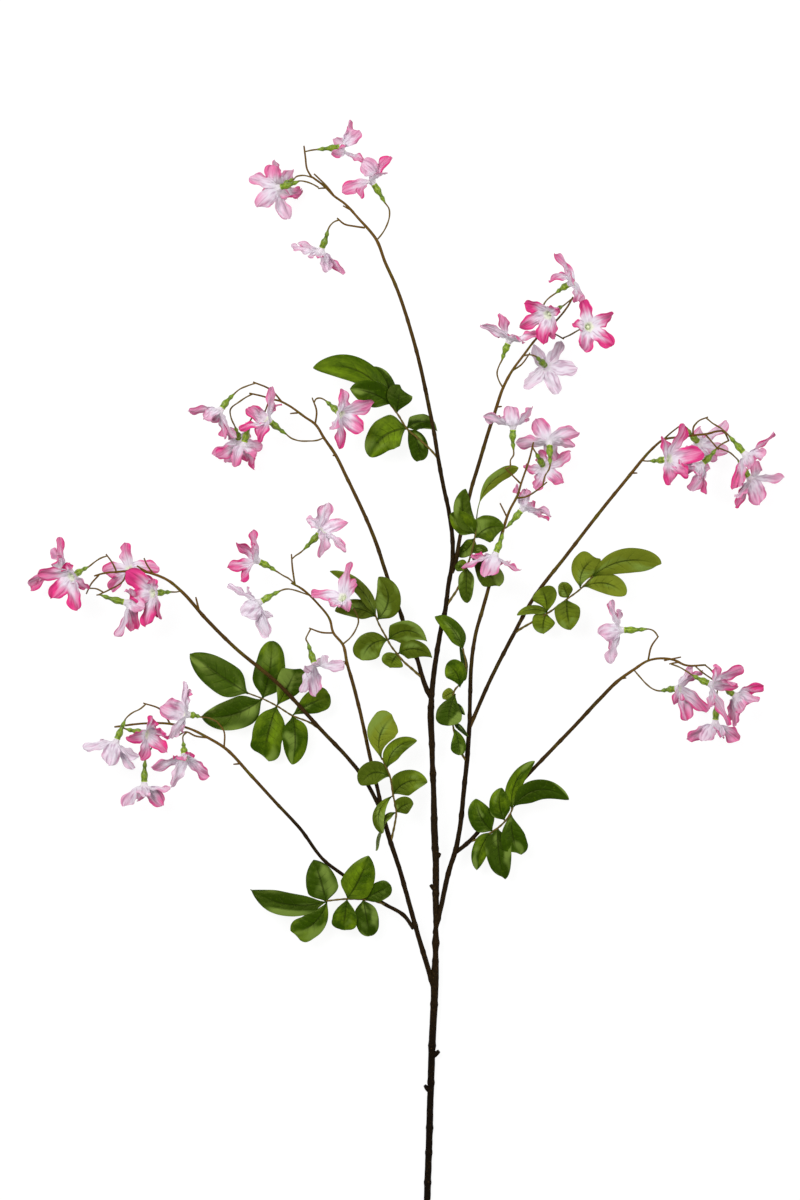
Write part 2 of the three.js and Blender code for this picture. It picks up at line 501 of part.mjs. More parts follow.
      petals: [[328, 504, 0.3, 12], [346, 521, 0.3, 13], [347, 550, 0.3, 13],
        [322, 556, 0.4, 11], [306, 520, 0.4, 10]] },
    { calyx: [276, 571, 260, 562], z: 44, lean: 0.2, pedicel: [41, 294, 583, 288, 578, 284, 576],
      petals: [[252, 530, 0.2, 10], [251, 545, 0.8, 5], [237, 543, -0.3, 9],
        [228, 566, 0.2, 13], [240, 580, 0.4, 9]] },
    { calyx: [280, 591, 262, 601], z: 46, lean: 0.2,
      pedicel: [40.5, 309, 595, 303, 593, 294, 590, 287, 589],
      petals: [[229, 585, 0.2, 12], [246, 585, -0.4, 8], [249, 618, 0.3, 12],
        [268, 637, 0.2, 13], [272, 618, -0.3, 8]] },
    { calyx: [308, 643, 314, 662], z: 46, lean: 0.1, pedicel: [41, 311, 628.5, 308, 634, 306, 639],
      petals: [[303, 692, 0.2, 10], [317, 694, 0.5, 13], [344, 664, 0.2, 9],
        [307, 666, 0.9, 8], [322, 657, -0.9, 7]] },
    { calyx: [353, 608, 345, 600], z: 58, lean: 0.6,
      pedicel: [37, 343, 644, 350, 638, 356, 629, 358.5, 621, 356, 613],
      petals: [[351, 562, 0.3, 13], [355, 580, 0.5, 9], [346, 611, 0.3, 9],
        [312, 594, 0.3, 13], [331, 604, 0.4, 9]] },
  ],
  lower_left: [
    { calyx: [125, 720, 117, 739], z: 38, lean: 0.1, pedicel: [36, 146, 704, 140, 709, 132, 713],
      petals: [[84, 749, 0.2, 12], [109, 764, 0.4, 12], [133, 769, 0.2, 11],
        [138, 757, -0.3, 8], [105, 742, -0.8, 8]] },
    { calyx: [126, 729, 143, 733], z: 44, lean: 0.4, pedicel: [31, 115, 727, 121, 727],
      petals: [[154, 716, 0.1, 9], [128, 738, 0.5, 9], [142, 759, 0.3, 13],
        [167, 751, 0.3, 13], [167, 736, 0.4, 8]] },
    { calyx: [200, 717, 190, 715], z: 36, lean: 0.5, pedicel: [25, 217, 722, 208, 718],
      petals: [[185, 682, 0.2, 13], [191, 690, -0.2, 9], [162, 707, 0.2, 13],
        [172, 738, 0.2, 12], [181, 733, -0.3, 8]] },
    { calyx: [183, 742, 184, 754], z: 42, lean: 0.4, pedicel: [33, 187, 732, 183, 736],
      petals: [[152, 768, 0.3, 12], [171, 786, 0.4, 12], [209, 776, 0.3, 12],
        [177, 757, 0.6, 8], [190, 752, 0.1, 9]] },
    { calyx: [145, 760, 144, 782], z: 30, lean: 0, pedicel: [30, 155, 742, 150, 750],
      petals: [[126, 805, 0.1, 9], [137, 801, -0.5, 9], [145, 796, 0.9, 9],
        [163, 804, -0.1, 10], [170, 789, 0.3, 8]] },
  ],
  middle: [
    { calyx: [513.5, 450, 513, 430], z: 46, lean: 0.1,
      pedicel: [40, 505.5, 469, 509.7, 467, 510.5, 460, 513.5, 455],
      petals: [[484, 416, 0.2, 11], [510, 407, 0.3, 14], [531, 407, 0.1, 8],
        [502, 416, -0.8, 8], [524, 418, -0.7, 8]] },
    { calyx: [550, 465, 549.5, 446], z: 36, lean: -0.8,
      pedicel: [42.8, 542.6, 486, 545, 476, 549, 469],
      petals: [[517, 445, -0.3, 13], [536, 419, -0.3, 15], [577, 431, -0.3, 14],
        [575, 446, -0.4, 8], [556, 460, -0.8, 9]] },
    { calyx: [536, 453, 543, 465], z: 24, lean: -0.8, pedicel: [39, 532, 446, 534, 450],
      petals: [[571.5, 453, -0.2, 10], [563, 483, -0.2, 12], [535, 488, -0.2, 12],
        [523, 468, -0.2, 9], [540, 451, -0.5, 9]] },
    { calyx: [507, 527, 521, 511], z: 28, lean: 0, pedicel: [30, 503.5, 529],
      petals: [[527, 489, 0, 12], [516, 485, -0.3, 6], [551, 513, 0.1, 7],
        [548, 519, -0.4, 6], [531, 500, -0.9, 11]] },
    { calyx: [503, 533, 496, 552], z: 43, lean: 0.1, pedicel: [29, 504.5, 526],
      petals: [[462, 568, 0.2, 6], [472, 556, -0.2, 8], [486, 576, 0.5, 15],
        [519, 571, 0.1, 6], [508, 564, -0.5, 6]] },
  ],
  right: [
    { calyx: [650, 461, 665, 459.5], z: 50, lean: 0.6, pedicel: [37.5, 641, 460, 645, 461],
      petals: [[685, 425, 0.3, 11], [662, 436, 0.4, 7], [702, 452, 0.6, 15],
        [671, 484, 0.4, 14], [688, 474, 0.8, 12]] },
    { calyx: [716, 449, 703.5, 462.5], z: 40, lean: -0.1, pedicel: [37, 729, 440.5, 722, 444],
      petals: [[689, 491, 0.1, 13], [705, 495, -0.2, 6], [711, 470, -0.4, 7],
        [697, 478, 0.9, 9], [684, 470, -0.5, 10]] },
    { calyx: [687, 428, 698, 441], z: 20, lean: -0.8, pedicel: [35, 680, 425.5, 684, 425.5],
      petals: [[728, 421, 0.2, 9], [702, 427, -0.4, 9], [729, 451, 0, 13],
        [718, 459, -0.2, 10], [683, 452, -0.4, 10]] },
    { calyx: [729, 436, 743, 452], z: 40, lean: -0.2,
      pedicel: [42.6, 706, 418, 712, 423, 721, 428.5],
      petals: [[775, 434, 0.3, 6], [764, 454, 0.3, 12], [752, 467, 0.8, 9],
        [733, 489, 0.2, 11], [742, 486, -0.3, 9]] },
    { calyx: [738.5, 460, 749, 476], z: 22, lean: -0.3,
      pedicel: [42, 718, 448, 724, 450, 730, 452.5, 735, 456.5], floor: 0,
      petals: [[784, 478, 0.3, 9], [760, 503, 0.2, 15], [737, 506, 0.1, 12],
        [736, 497, 0.7, 7], [757, 462, -2, 8]] },
  ],
  lower_right: [
    { calyx: [647, 629, 624, 630], z: 42, lean: 0, pedicel: [42, 658, 637, 656, 633.5, 653, 630.5],
      petals: [[608.5, 602, 0.1, 9], [623.5, 611, -0.7, 6], [601, 637, 0.5, 14],
        [611, 663, 0.2, 10], [607, 649, -0.5, 8]] },
    { calyx: [661, 691, 675, 689], z: 33, lean: 0.2,
      pedicel: [37, 634, 670, 640, 677, 647, 684.5, 653, 689],
      petals: [[675, 705, 0.3, 8], [693, 668, -0.1, 9], [703, 671, -0.6, 8],
        [707, 711, 0.3, 13], [688, 720, 0.3, 14]] },
    { calyx: [692, 675, 708, 683], z: 50, lean: 0.1, pedicel: [41.5, 671, 664, 679, 667, 686, 671],
      petals: [[716, 665, 0.3, 9], [743, 668, 0.2, 13], [737, 685, 0.6, 8],
        [711, 708, 0.5, 7], [728, 724, 0.2, 8]] },
    { calyx: [722, 686, 733, 694], z: 30, lean: -0.3, pedicel: [38.5, 694, 665, 702, 672, 712, 679],
      petals: [[764, 687, 0.2, 10], [757, 703, 0.5, 10], [742, 712, 0.8, 10],
        [736, 726, 0.2, 9], [729, 716, -0.5, 8]] },
    { calyx: [717, 697, 716, 720], z: 26, lean: 0, floor: 0,
      pedicel: [38, 705, 665, 711, 670, 716, 677, 718, 688],
      petals: [[688, 740, 0.2, 12], [705, 741, 0.6, 14], [719, 736, 0.9, 6],
        [739, 740, 0.2, 11], [726, 735, -2, 9]] },
  ],
};

// Leafy sprays: the route of the rib, then a row for each leaf (see leaf()).
const SPRAYS = {
  top: { rib: [[438, 458, 33, 1.2], [430, 449, 32, 1.1], [418, 438, 30, 1], [407, 428.5, 29, 1],
    [398, 414.5, 30, 1], [391, 405, 31, 0.9]],
    leaves: [[392, 406.5, 313, 367.5, 25, 31, 38, -13, 4, 15], [391, 404, 350, 396, 22, 30, 26, -2, 0, -20],
      [392, 404, 373, 366, 16, 30, 24, -5, 0, 30], [397, 413, 404, 389, 24, 30, 36, 0, 3, 30, 1],
      [407, 428, 371, 457, 33, 29, 24, -7, 3, 10], [407, 428, 437, 430, 15, 29, 26, 6, 0, 30],
      [407, 429, 417, 461, 19, 29, 25, 4, 2, 15]] },
  upper_right: { rib: [[446, 607, 24.6, 1.2], [451, 599, 25.5, 1.3], [457, 590, 27, 1.2],
    [464, 574, 29, 1.1], [470, 558, 30.5, 1], [475, 537, 32, 0.9], [477, 518, 33, 0.8]],
    leaves: [[476.8, 521, 518, 469, 11, 33, 36, 11, 0, 30, 0.5], [476, 538, 503, 528.5, 26, 32, 36, 3, 2, 0],
      [475, 533, 467, 489, 15, 32, 39, 6, 2, 20], [475, 534, 450, 514, 19, 32, 37, -1, 2, -15],
      [474, 538, 456, 555, 14, 31, 22, 3, 0, 20], [470.6, 556, 497, 586, 20, 31, 32, 2, 2, 0, 0.5],
      [472, 553, 488, 551, 10, 31, 31, 3, 0, 0], [467, 567, 467, 603, 16, 30, 30, -1, 2, 10],
      [468, 566, 457, 571, 12, 30, 33, -3, 0, 20]] },
  right: { rib: [[514, 634, 21, 1.1], [520, 629.5, 22, 1.2], [532, 622.5, 24, 1.1],
    [549, 612.5, 27, 1], [568, 598.5, 30, 0.9], [580, 589.5, 32, 0.9], [593, 576, 34, 0.8]],
    leaves: [[591.5, 577.5, 659, 565, 24, 34, 36, 8, 4, 10], [580.5, 588, 588, 556, 31, 33, 37, 2, 2, 10, 1],
      [583, 587, 626, 595, 21, 33, 31, 6, 3, -10, 0.5], [569, 598, 562, 582, 15, 30, 35, 0, 2, 10],
      [547, 612, 541, 588, 22, 27, 34, -2, 2, 0, 1], [567, 599, 571, 630, 26, 30, 27, -1, 3, -10],
      [547, 613, 544, 634, 23, 27, 24, -2, 2, 0], [549, 613, 517, 615, 9, 27, 29, -5, 1, 30]] },
  upper_left: { rib: [[423, 679, 18.5, 1.2], [412, 669, 21, 1.3], [404, 662, 22.5, 1.1],
    [398, 655, 24, 1], [391, 646, 26, 1], [386, 637, 28, 1], [378, 622, 31, 0.9], [375, 614, 32, 0.8]],
    leaves: [[376, 617, 330, 571, 13, 32, 36, -9, 3, 20], [376, 617, 335, 611, 17, 31, 32, -6, 2, 10],
      [377, 620, 384, 580, 25, 31, 36, -7, 2, 0, 1], [388, 640, 362, 660, 28, 28, 25, -6, 3, 0, 0.5],
      [388, 640, 427, 641, 18, 28, 26, 9, 3, 15], [398, 654, 390, 668, 22, 24, 22, -1, 2, 0, 0.5],
      [398, 654, 431, 658, 15, 24, 24, 6, 2, 15]] },
  middle: { rib: [[467.3, 763, 17, 1.2], [463, 756, 19, 1.2], [457, 742, 21, 1.1],
    [453.5, 728, 23, 1], [452.5, 706, 25, 1], [455, 690, 26.5, 1], [462, 682, 28, 0.9],
    [466, 668, 29, 0.9], [463, 648, 30, 0.8]],
    leaves: [[463.3, 650, 436, 616, 17, 30, 34, -5, 3, 10], [465, 675, 460, 647, 6, 28.5, 27, -2, 0, 50],
      [462, 682, 444, 669, 20, 28, 32, -2, 3, 0], [462, 682, 468, 669, 5, 28, 27, 0, 0, 50],
      [455, 692, 443, 699, 12, 26, 23, -1, 1, 0],
      [453, 700, 441, 721, 26, 25.5, 31, 1, 3, 0, 0.5], [453, 702, 465, 715, 5, 25, 24, 0, 0, 50],
      [453.5, 722, 468, 737, 5, 23.5, 25, 0, 0, 50], [453.5, 728, 457, 755, 15, 23, 27, 3, 2, 0, 1]] },
  left: { rib: [[322, 731, 24.5, 1.2], [309.4, 722.7, 21, 1], [292, 715.8, 18, 0.9],
    [276.6, 706.3, 15, 0.9], [263, 699.4, 13, 0.8], [247.4, 693.4, 12, 0.8]],
    leaves: [[248, 694, 189, 654, 29, 12, 0, 1, 4, 0], [262, 699, 200.5, 718, 27, 13, 9, 5, 4, 0],
      [262, 699, 271, 641, 32, 13, 17, -3, 4, 0], [276.5, 706, 296, 669, 27, 15, 20, -1, 3, 0, 1],
      [276.5, 706, 271, 759, 30, 15, 12, -5, 4, 0, 0.3], [292, 715.8, 292, 765, 24, 18, 13, 3, 3, 0],
      [292, 715.8, 330, 696, 24, 18, 18, 2, 3, 0, 1]] },
  middle_left: { rib: [[390.5, 845, 17, 1.3], [392.3, 836, 18, 1.2], [394.5, 826, 20, 1.1],
    [396.3, 812, 22, 1], [393, 795, 25, 1], [390, 777, 28, 1], [386, 767, 30, 0.9], [382, 758, 31, 0.9]],
    leaves: [[382, 759, 387, 715, 28, 31, 37, 3, 3, 0, 1.4], [387, 769, 417, 741, 16, 30, 33, 7, 2, 10],
      [390, 777, 361, 783, 24, 28, 31, -6, 2, 0, 0.5], [393, 795, 426.5, 783, 22, 25, 28, 6, 3, 0, 0.3],
      [396.3, 812, 413, 804, 16, 22, 26, 2, 2, 0, 0.5], [393, 796, 382, 834, 10, 25, 27, -9, 1, 20, 0.6],
      [396, 813, 383, 833, 6, 22, 24, -6, 0, 40], [381, 829, 375.5, 851, 3.5, 26.5, 22, 0, 0, 70]] },
  lower_right: { rib: [[469, 842.5, 15.2, 1.2], [480, 839, 17, 1.2], [493, 832, 20, 1.1],
    [503, 824, 23, 1], [510, 815, 25, 1], [513, 808, 26, 0.9]],
    leaves: [[513, 808, 569, 800, 20, 26, 28, 14, 3, 10], [512, 810, 535, 762, 16, 25.5, 30, 8, 2, 10],
      [505, 821, 502, 788, 18, 23.5, 30, 4, 3, 0], [493, 832, 476, 799, 23, 20, 27, 4, 3, 0],
      [511, 813, 518, 854, 19, 25, 21, -2, 3, 0, 1], [498, 828, 504, 879, 20, 21.5, 17, -2, 3, 0],
      [492, 832, 477, 871, 15, 20, 15, -4, 3, 0]] },
  lower_left: { rib: [[386, 905.5, 14.6, 1.2], [375, 902, 17.5, 1.1], [363, 900, 20, 1.1],
    [347, 899.5, 22.5, 1], [326, 901.5, 24, 0.9]],
    leaves: [[327, 901.5, 250, 890, 22, 24, 22, 10, 3, 0], [326, 902, 314, 860, 31, 24, 29, -2, 3, 0],
      [327, 901.5, 293, 934, 22, 24, 20, 7, 3, 0], [347, 899.5, 368, 856, 30, 22.5, 28, 0, 3, 0],
      [347, 899.5, 343, 931, 22, 22.5, 19, 0, 3, 0, 0.5], [363, 900, 391, 886, 20, 20, 23, 0, 3, 0, 0.5],
      [363, 900, 370, 937, 25, 20, 15, 0, 3, 0, 0.3]] },
};

// A bloom's green part: its thin curved pedicel, which swells into the calyx.
function calyxBody(bloom) {
  const { foot, top } = calyxOf(bloom);
  const [startZ, ...flat] = bloom.pedicel;
  const route = [];
  for (let i = 0; i < flat.length; i += 2) {
    const [x, y] = route.at(-1) ?? [Infinity, Infinity];
    if (Math.hypot(flat[i] - x, flat[i + 1] - y) >= PEDICEL_STEP) route.push([flat[i], flat[i + 1]]);
  }
  const sheet = (p) => [p.x + SHEET_WIDTH / 2, SHEET_HEIGHT - p.y];
  route.push(sheet(foot));
  const steps = [0];
  for (let i = 1; i < route.length; i++) {
    steps.push(steps[i - 1] + Math.hypot(route[i][0] - route[i - 1][0], route[i][1] - route[i - 1][1]));
  }
  const total = steps.at(-1) || 1;
  const pedicel = route.slice(0, -1).map(([x, y], i) => [
    x, y, mix(startZ, foot.z, steps[i] / total), PEDICEL_RADIUS]);
  const calyx = CALYX_PROFILE.map(([t, r]) => {
    const p = foot.clone().lerp(top, t);
    return [...sheet(p), p.z, r];
  });
  return tube([...pedicel, ...calyx], CALYX_SIDES);
}

// A stalk with its twigs and the green parts of its blooms, cut clear of what it leaves.
function wood(stalks, twigs, heads, parents) {
  const bodies = [...stalks, ...twigs.map((rows) => tube(rows, TWIG_SIDES))];
  for (const head of heads) {
    for (const bloom of BLOOMS[head]) bodies.push(calyxBody(bloom));
  }
  return cutClear(fuse(bodies), parents);
}

function cutClear(body, parents) {
  let solid = solidOf(body);
  for (const rows of parents) {
    const room = tube(rows.map(([x, y, z, r]) => [x, y, z, r + JOINT_GAP * 1.1]), TRUNK_SIDES);
    solid = solid.subtract(solidOf(room));
  }
  return bodyOf(solid);
}

const group = new THREE.Group();
const stalk = (rows) => tube(rows, STALK_SIDES);
const trunk = [tube(TRUNK, TRUNK_SIDES), stalk(LEADER),
  ...TRUNK_KNOBS.map((rows) => tube(rows, TWIG_SIDES))];
group.add(
  meshOf('main_stem', wood(trunk, TOP_TWIGS, ['top'], []), BARK),
  meshOf('upper_right_branch', wood([stalk(UPPER_RIGHT_STALK)], UPPER_RIGHT_TWIGS,
    ['upper_right'], [LEADER]), BARK),
  meshOf('upper_left_branch', wood([stalk(UPPER_LEFT_STALK)], UPPER_LEFT_TWIGS,
    ['upper_left'], [TRUNK, LEADER]), BARK),
  meshOf('left_branch', wood([stalk(LEFT_FORK), stalk(LEFT_STALK), stalk(MIDDLE_LEFT_STALK)],
    LEFT_TWIGS, ['left', 'middle_left'], [TRUNK]), BARK),
  meshOf('lower_left_branch', wood([stalk(LOWER_LEFT_STALK)], LOWER_LEFT_TWIGS,
    ['lower_left'], [LEFT_FORK]), BARK),
  meshOf('right_branch', wood(
    [stalk(RIGHT_FORK), stalk(MIDDLE_STALK), stalk(RIGHT_STALK), stalk(LOWER_RIGHT_STALK)],
    [...MIDDLE_TWIGS, ...RIGHT_TWIGS], ['middle', 'right', 'lower_right'], [TRUNK]), BARK),
);
const SPRAY_PARENTS = {
  top: LEADER, upper_right: LEADER, right: RIGHT_STALK, upper_left: UPPER_LEFT_STALK,
  middle: RIGHT_FORK, left: LEFT_STALK, middle_left: LEFT_FORK, lower_right: LOWER_RIGHT_STALK,
  lower_left: LOWER_LEFT_STALK,
};
for (const [name, { rib, leaves }] of Object.entries(SPRAYS)) {
  const body = fuse([tube(rib, TWIG_SIDES), ...leaves.map(leaf)]);
  group.add(meshOf(`leaf_spray_${name}`, cutClear(body, [SPRAY_PARENTS[name]]), LEAF_GREEN));
}
for (const [head, blooms] of Object.entries(BLOOMS)) {
  blooms.forEach((bloom, i) => {
    group.add(meshOf(`bloom_${head}_${i + 1}`, corolla(bloom), head === 'middle_left' ? PALE : PINK));
  });
}

// The stem lies with the middle of its outline over the origin.
const box = new THREE.Box3().setFromObject(group);
group.position.set(-(box.min.x + box.max.x) / 2, -(box.min.y + box.max.y) / 2, -box.min.z);
group.updateMatrixWorld(true);

export default group;
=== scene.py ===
"""Madagascar jasmine stem: the bark, calyxes, leaves and blooms of an artificial flowering
stem that lies on its back, built round its packed frame. Routes are in millimetres on a flat
layout sheet (x right, y down, z up from the surface); meshes are written in metres."""

import math

import bpy
import mathutils
import numpy as np
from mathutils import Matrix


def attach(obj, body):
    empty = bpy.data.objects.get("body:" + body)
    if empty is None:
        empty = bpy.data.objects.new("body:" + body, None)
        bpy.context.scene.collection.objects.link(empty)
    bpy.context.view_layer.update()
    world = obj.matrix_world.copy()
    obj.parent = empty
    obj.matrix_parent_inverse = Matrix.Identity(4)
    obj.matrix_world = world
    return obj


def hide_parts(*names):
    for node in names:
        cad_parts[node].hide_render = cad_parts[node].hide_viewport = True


bl_info = {
    "name": "Madagascar Jasmine Stem",
    "version": (1, 0, 0),
    "blender": (4, 5, 0),
    "location": "View3D > Sidebar > Jasmine",
    "description": "Builds the bark, calyxes, leaves and blooms of an artificial jasmine stem",
    "category": "Object",
}

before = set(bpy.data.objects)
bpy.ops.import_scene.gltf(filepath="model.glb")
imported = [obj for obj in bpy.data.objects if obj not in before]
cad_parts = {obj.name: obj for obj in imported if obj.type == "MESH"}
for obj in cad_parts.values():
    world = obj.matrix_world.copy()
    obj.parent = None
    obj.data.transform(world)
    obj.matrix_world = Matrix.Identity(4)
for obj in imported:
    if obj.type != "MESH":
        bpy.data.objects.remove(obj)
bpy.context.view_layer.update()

MM = 0.001
SHEET_WIDTH = 800
SHEET_HEIGHT = 1200
SHEET_ORIGIN_X = 405.5
SHEET_ORIGIN_Y = 680.52
Z_AXIS = np.array((0.0, 0.0, 1.0))
X_AXIS = np.array((1.0, 0.0, 0.0))

# Routes of the stalks, knobs and twigs. A row is x and y on the sheet, height and radius.
TRUNK = [
    [427, 1240, 3.5, 3.5], [427.4, 1200, 3.5, 3.4], [429.3, 1142, 4.2, 3.4],
    [430.8, 1091, 5, 3.4], [432.5, 1040, 6.5, 3.6], [434.4, 1002, 8, 3.7], [435.1, 976, 9.5, 3.9],
    [435.8, 948, 11, 3.4], [435.8, 944, 11.1, 4.1], [435.9, 940, 11.3, 3.4], [435.9, 900, 13, 3.3],
    [435.7, 856, 14.5, 3.4], [434.6, 834, 15.2, 3.5], [434, 807, 16, 3.1], [433.2, 778, 17, 3.1],
    [433, 774, 17.1, 3.6], [432.8, 770, 17.2, 3], [432, 745, 18, 3], [430.9, 709, 19.5, 3.2],
    [431.6, 698, 19.9, 2.8],
]
LEADER = [
    [431.2, 703, 19.8, 2.5], [432, 692, 20, 2.8], [435.4, 663, 21.5, 2.5],
    [439.8, 636, 23, 2.4], [445.6, 608, 24.5, 2.3], [449, 582, 26, 2.1], [452, 566, 27, 2.1],
    [452.4, 537, 28.5, 2], [449, 512, 30, 1.9],
    [443, 484, 31.5, 1.9], [438, 457, 33, 1.9], [434.5, 435, 34, 1.8], [428, 402, 35.5, 1.8],
    [419.3, 362, 37, 1.7], [410.6, 330, 38, 1.6], [395, 284, 39.5, 1.5], [385, 262, 40, 1.4],
    [377, 241, 40.5, 1.3], [358, 218, 41, 1.1], [345, 204, 41, 1], [334, 196, 41, 1],
    [324, 186, 40.5, 0.9], [312, 177, 40, 0.9],
]
TRUNK_KNOBS = [
    [[432, 1058, 6.2, 3.2], [436, 1055.5, 6.2, 2.7], [439.4, 1052.5, 6.2, 1.7]],
    [[430.5, 1093, 5, 3], [427.5, 1090.5, 5, 2.4], [424.6, 1087, 5, 1.4]],
    [[435.9, 891, 13.3, 2.8], [432.6, 888, 13.4, 2.2], [430.4, 885.5, 13.5, 1.5]],
    [[435.7, 860, 14.4, 2.8], [438, 857, 14.5, 2.3], [440, 853.5, 14.6, 1.5]],
]
TOP_TWIGS = [
    [[334, 196, 41, 0.9], [328, 188, 42.5, 0.8], [314, 174, 43.5, 0.7]],
    [[312, 178, 40, 0.9], [307, 169, 41, 0.8], [305.5, 158, 42.5, 0.8], [304, 146, 44, 0.7]],
    [[365, 228, 41, 0.9], [355, 226.5, 41, 0.8], [344, 224, 40, 0.8], [337, 218, 39, 0.7]],
    [[354, 212, 41, 0.8], [343, 206, 43.5, 0.6]],
    [[327, 188, 40.6, 0.8], [318, 188.5, 39.5, 0.6]],
]
UPPER_RIGHT_STALK = [
    [452, 573, 26.6, 1.8], [455.7, 562, 27.6, 1.9], [459.3, 541, 29, 1.8], [465, 516, 31, 1.7],
    [471, 490, 33, 1.7], [480, 460, 35.5, 1.7], [488.7, 431, 38, 1.6], [494.5, 413.5, 40, 1.5],
    [503, 388, 42, 1.3], [512, 371, 43, 1.1], [523, 356, 43.5, 1], [537, 338, 43.5, 0.9],
    [555, 322, 43, 0.8], [568, 306, 42, 0.8], [573, 297, 41.5, 0.7],
]
UPPER_RIGHT_TWIGS = [
    [[497, 407, 40.6, 0.9], [502, 406.5, 41, 0.6]],
    [[512, 371, 43, 0.8], [521, 365, 45, 0.7], [530, 353, 46.5, 0.6]],
    [[537, 338, 43.5, 0.8], [551, 333, 39, 0.7], [564, 339, 37, 0.6]],
]
UPPER_LEFT_STALK = [
    [432, 700, 19.5, 2.2], [427, 690, 19, 2.5], [422, 676, 18.5, 2.3], [417.5, 660, 18, 2.1],
    [409, 640, 18, 2], [400.5, 613, 18.5, 1.9], [389, 582, 20, 1.8], [375, 540, 23, 1.7],
    [346, 476, 29, 1.5], [335, 454, 31, 1.4], [324, 438, 32.5, 1.2], [315, 424, 33.5, 1.1],
    [305, 417, 34, 1], [288, 405, 35, 0.9], [280, 401, 35, 0.9], [271, 399, 35, 0.8],
]
UPPER_LEFT_TWIGS = [
    [[336, 455, 31, 1], [332.5, 455.5, 31, 0.7]],
    [[298, 412.8, 34.4, 0.8], [290, 413.5, 36, 0.6]],
    [[282, 402, 35, 0.8], [271, 390, 37, 0.8], [253, 382, 39, 0.7]],
    [[273, 399.5, 35, 0.8], [262, 396, 33, 0.8], [249, 393, 31, 0.7]],
    [[270, 398.5, 35, 0.8], [267, 406, 34, 0.7], [264.5, 413, 33, 0.6]],
    [[315, 425, 33.5, 0.8], [316.5, 411, 35.5, 0.8], [312, 397.5, 37, 0.6]],
]
LEFT_FORK = [
    [434.5, 992, 9, 2.6], [428, 969, 10.5, 2.6], [418, 936, 12, 2.4], [408, 900, 14, 2.3],
    [399.6, 870, 15.5, 2.2], [390, 841, 17, 2.3], [382, 812, 19, 2],
]
LEFT_STALK = [
    [384, 818, 18.6, 1.7], [375.7, 800, 19, 1.9], [362, 776, 20, 1.8], [350, 761, 21, 1.8],
    [321, 730, 24.5, 1.8], [277, 683, 28.5, 1.7], [233, 646, 32, 1.6], [206, 619, 34, 1.6],
    [181, 591, 35.5, 1.4], [169, 581, 36, 1.2], [153.5, 574, 36.5, 1.1], [140, 571, 37, 1],
    [116, 572, 37.5, 0.9], [105, 573, 37.5, 0.8], [94, 576, 37.5, 0.7],
]
MIDDLE_LEFT_STALK = [
    [383, 815, 19, 1.6], [377, 787, 22, 1.8], [369, 753, 25.5, 1.7], [363.5, 727, 28, 1.6],
    [353, 684, 33, 1.6], [347, 663, 35.5, 1.4], [343, 645, 37, 1.2], [333, 632, 38, 1.1],
    [330, 620, 39, 1], [318, 604, 40, 0.9], [299, 587, 41, 0.9], [291, 583, 41, 0.8],
]
LEFT_TWIGS = [
    [[199, 611, 34.6, 1], [195.7, 597, 36, 0.7]],
    [[153.5, 574, 36.5, 0.8], [147, 565, 38, 0.7], [144, 558, 39, 0.6]],
    [[149, 573, 36.7, 0.8], [137, 566, 35, 0.6]],
    [[117, 573, 37.5, 0.8], [113, 564, 39, 0.7], [106, 554, 40, 0.6]],
    [[99, 575, 37.5, 0.8], [91, 584, 35, 0.7], [86, 594, 33, 0.6]],
    [[127, 572, 37.2, 0.8], [123, 581, 40, 0.7], [109, 590, 41, 0.7], [98, 595, 41, 0.6]],
    [[348, 667, 35, 0.9], [343.5, 661, 36, 0.7]],
    [[295, 585, 41, 0.8], [292.5, 568, 43, 0.8], [291.5, 554, 44, 0.6]],
    [[334, 633, 38, 0.8], [322, 632.5, 40, 0.8], [309, 628, 41, 0.6]],
]
LOWER_LEFT_STALK = [
    [413.5, 930, 12.5, 1.7], [405.5, 918, 13.4, 1.8], [383, 904, 14.5, 1.7], [345, 877, 16.5, 1.6],
    [325, 862, 18, 1.5], [299, 828, 21, 1.5], [276.6, 804, 23.5, 1.4], [251, 776, 26, 1.4],
    [223, 747, 28.5, 1.3], [208, 738, 29.5, 1.2], [190, 729, 30, 1], [170, 724, 30.5, 1],
    [145, 723.5, 31, 0.9], [114, 727, 31, 0.8],
]
LOWER_LEFT_TWIGS = [
    [[239, 764, 27, 0.9], [233, 764.5, 27, 0.6]],
    [[224, 748, 28.5, 0.8], [223.5, 731, 27, 0.7], [216, 721, 25, 0.6]],
    [[170, 724, 30.5, 0.8], [161, 710, 33, 0.8], [143, 703, 36, 0.6]],
    [[155, 723, 31, 0.8], [155, 744, 30, 0.6]],
    [[208, 738, 29.5, 0.8], [195, 736, 32, 0.8], [186, 732, 33, 0.7], [176, 737, 34, 0.6]],
]
RIGHT_FORK = [
    [434.5, 935, 12, 2.3], [440, 913, 13, 2.4], [449.6, 870, 14.5, 2.5], [456, 850, 15, 2.5],
    [460, 829, 15.5, 2.4], [464, 791, 16.5, 2.3], [467, 763, 17, 2.3], [470, 720, 18.5, 2.1],
]
MIDDLE_STALK = [
    [469.6, 726, 18.3, 1.8], [470.4, 691, 19.5, 1.9], [471.6, 663, 20.5, 1.8],
    [477, 629, 22, 1.7], [482, 612, 22.8, 1.7], [488.7, 588, 23, 1.6], [498, 549, 26.5, 1.4],
    [504, 527, 28.5, 1.3], [509, 512, 32, 1.1], [518, 494, 37.5, 1], [521, 484, 38, 0.9],
    [530, 457, 39, 0.8], [533.5, 442, 39, 0.7],
]
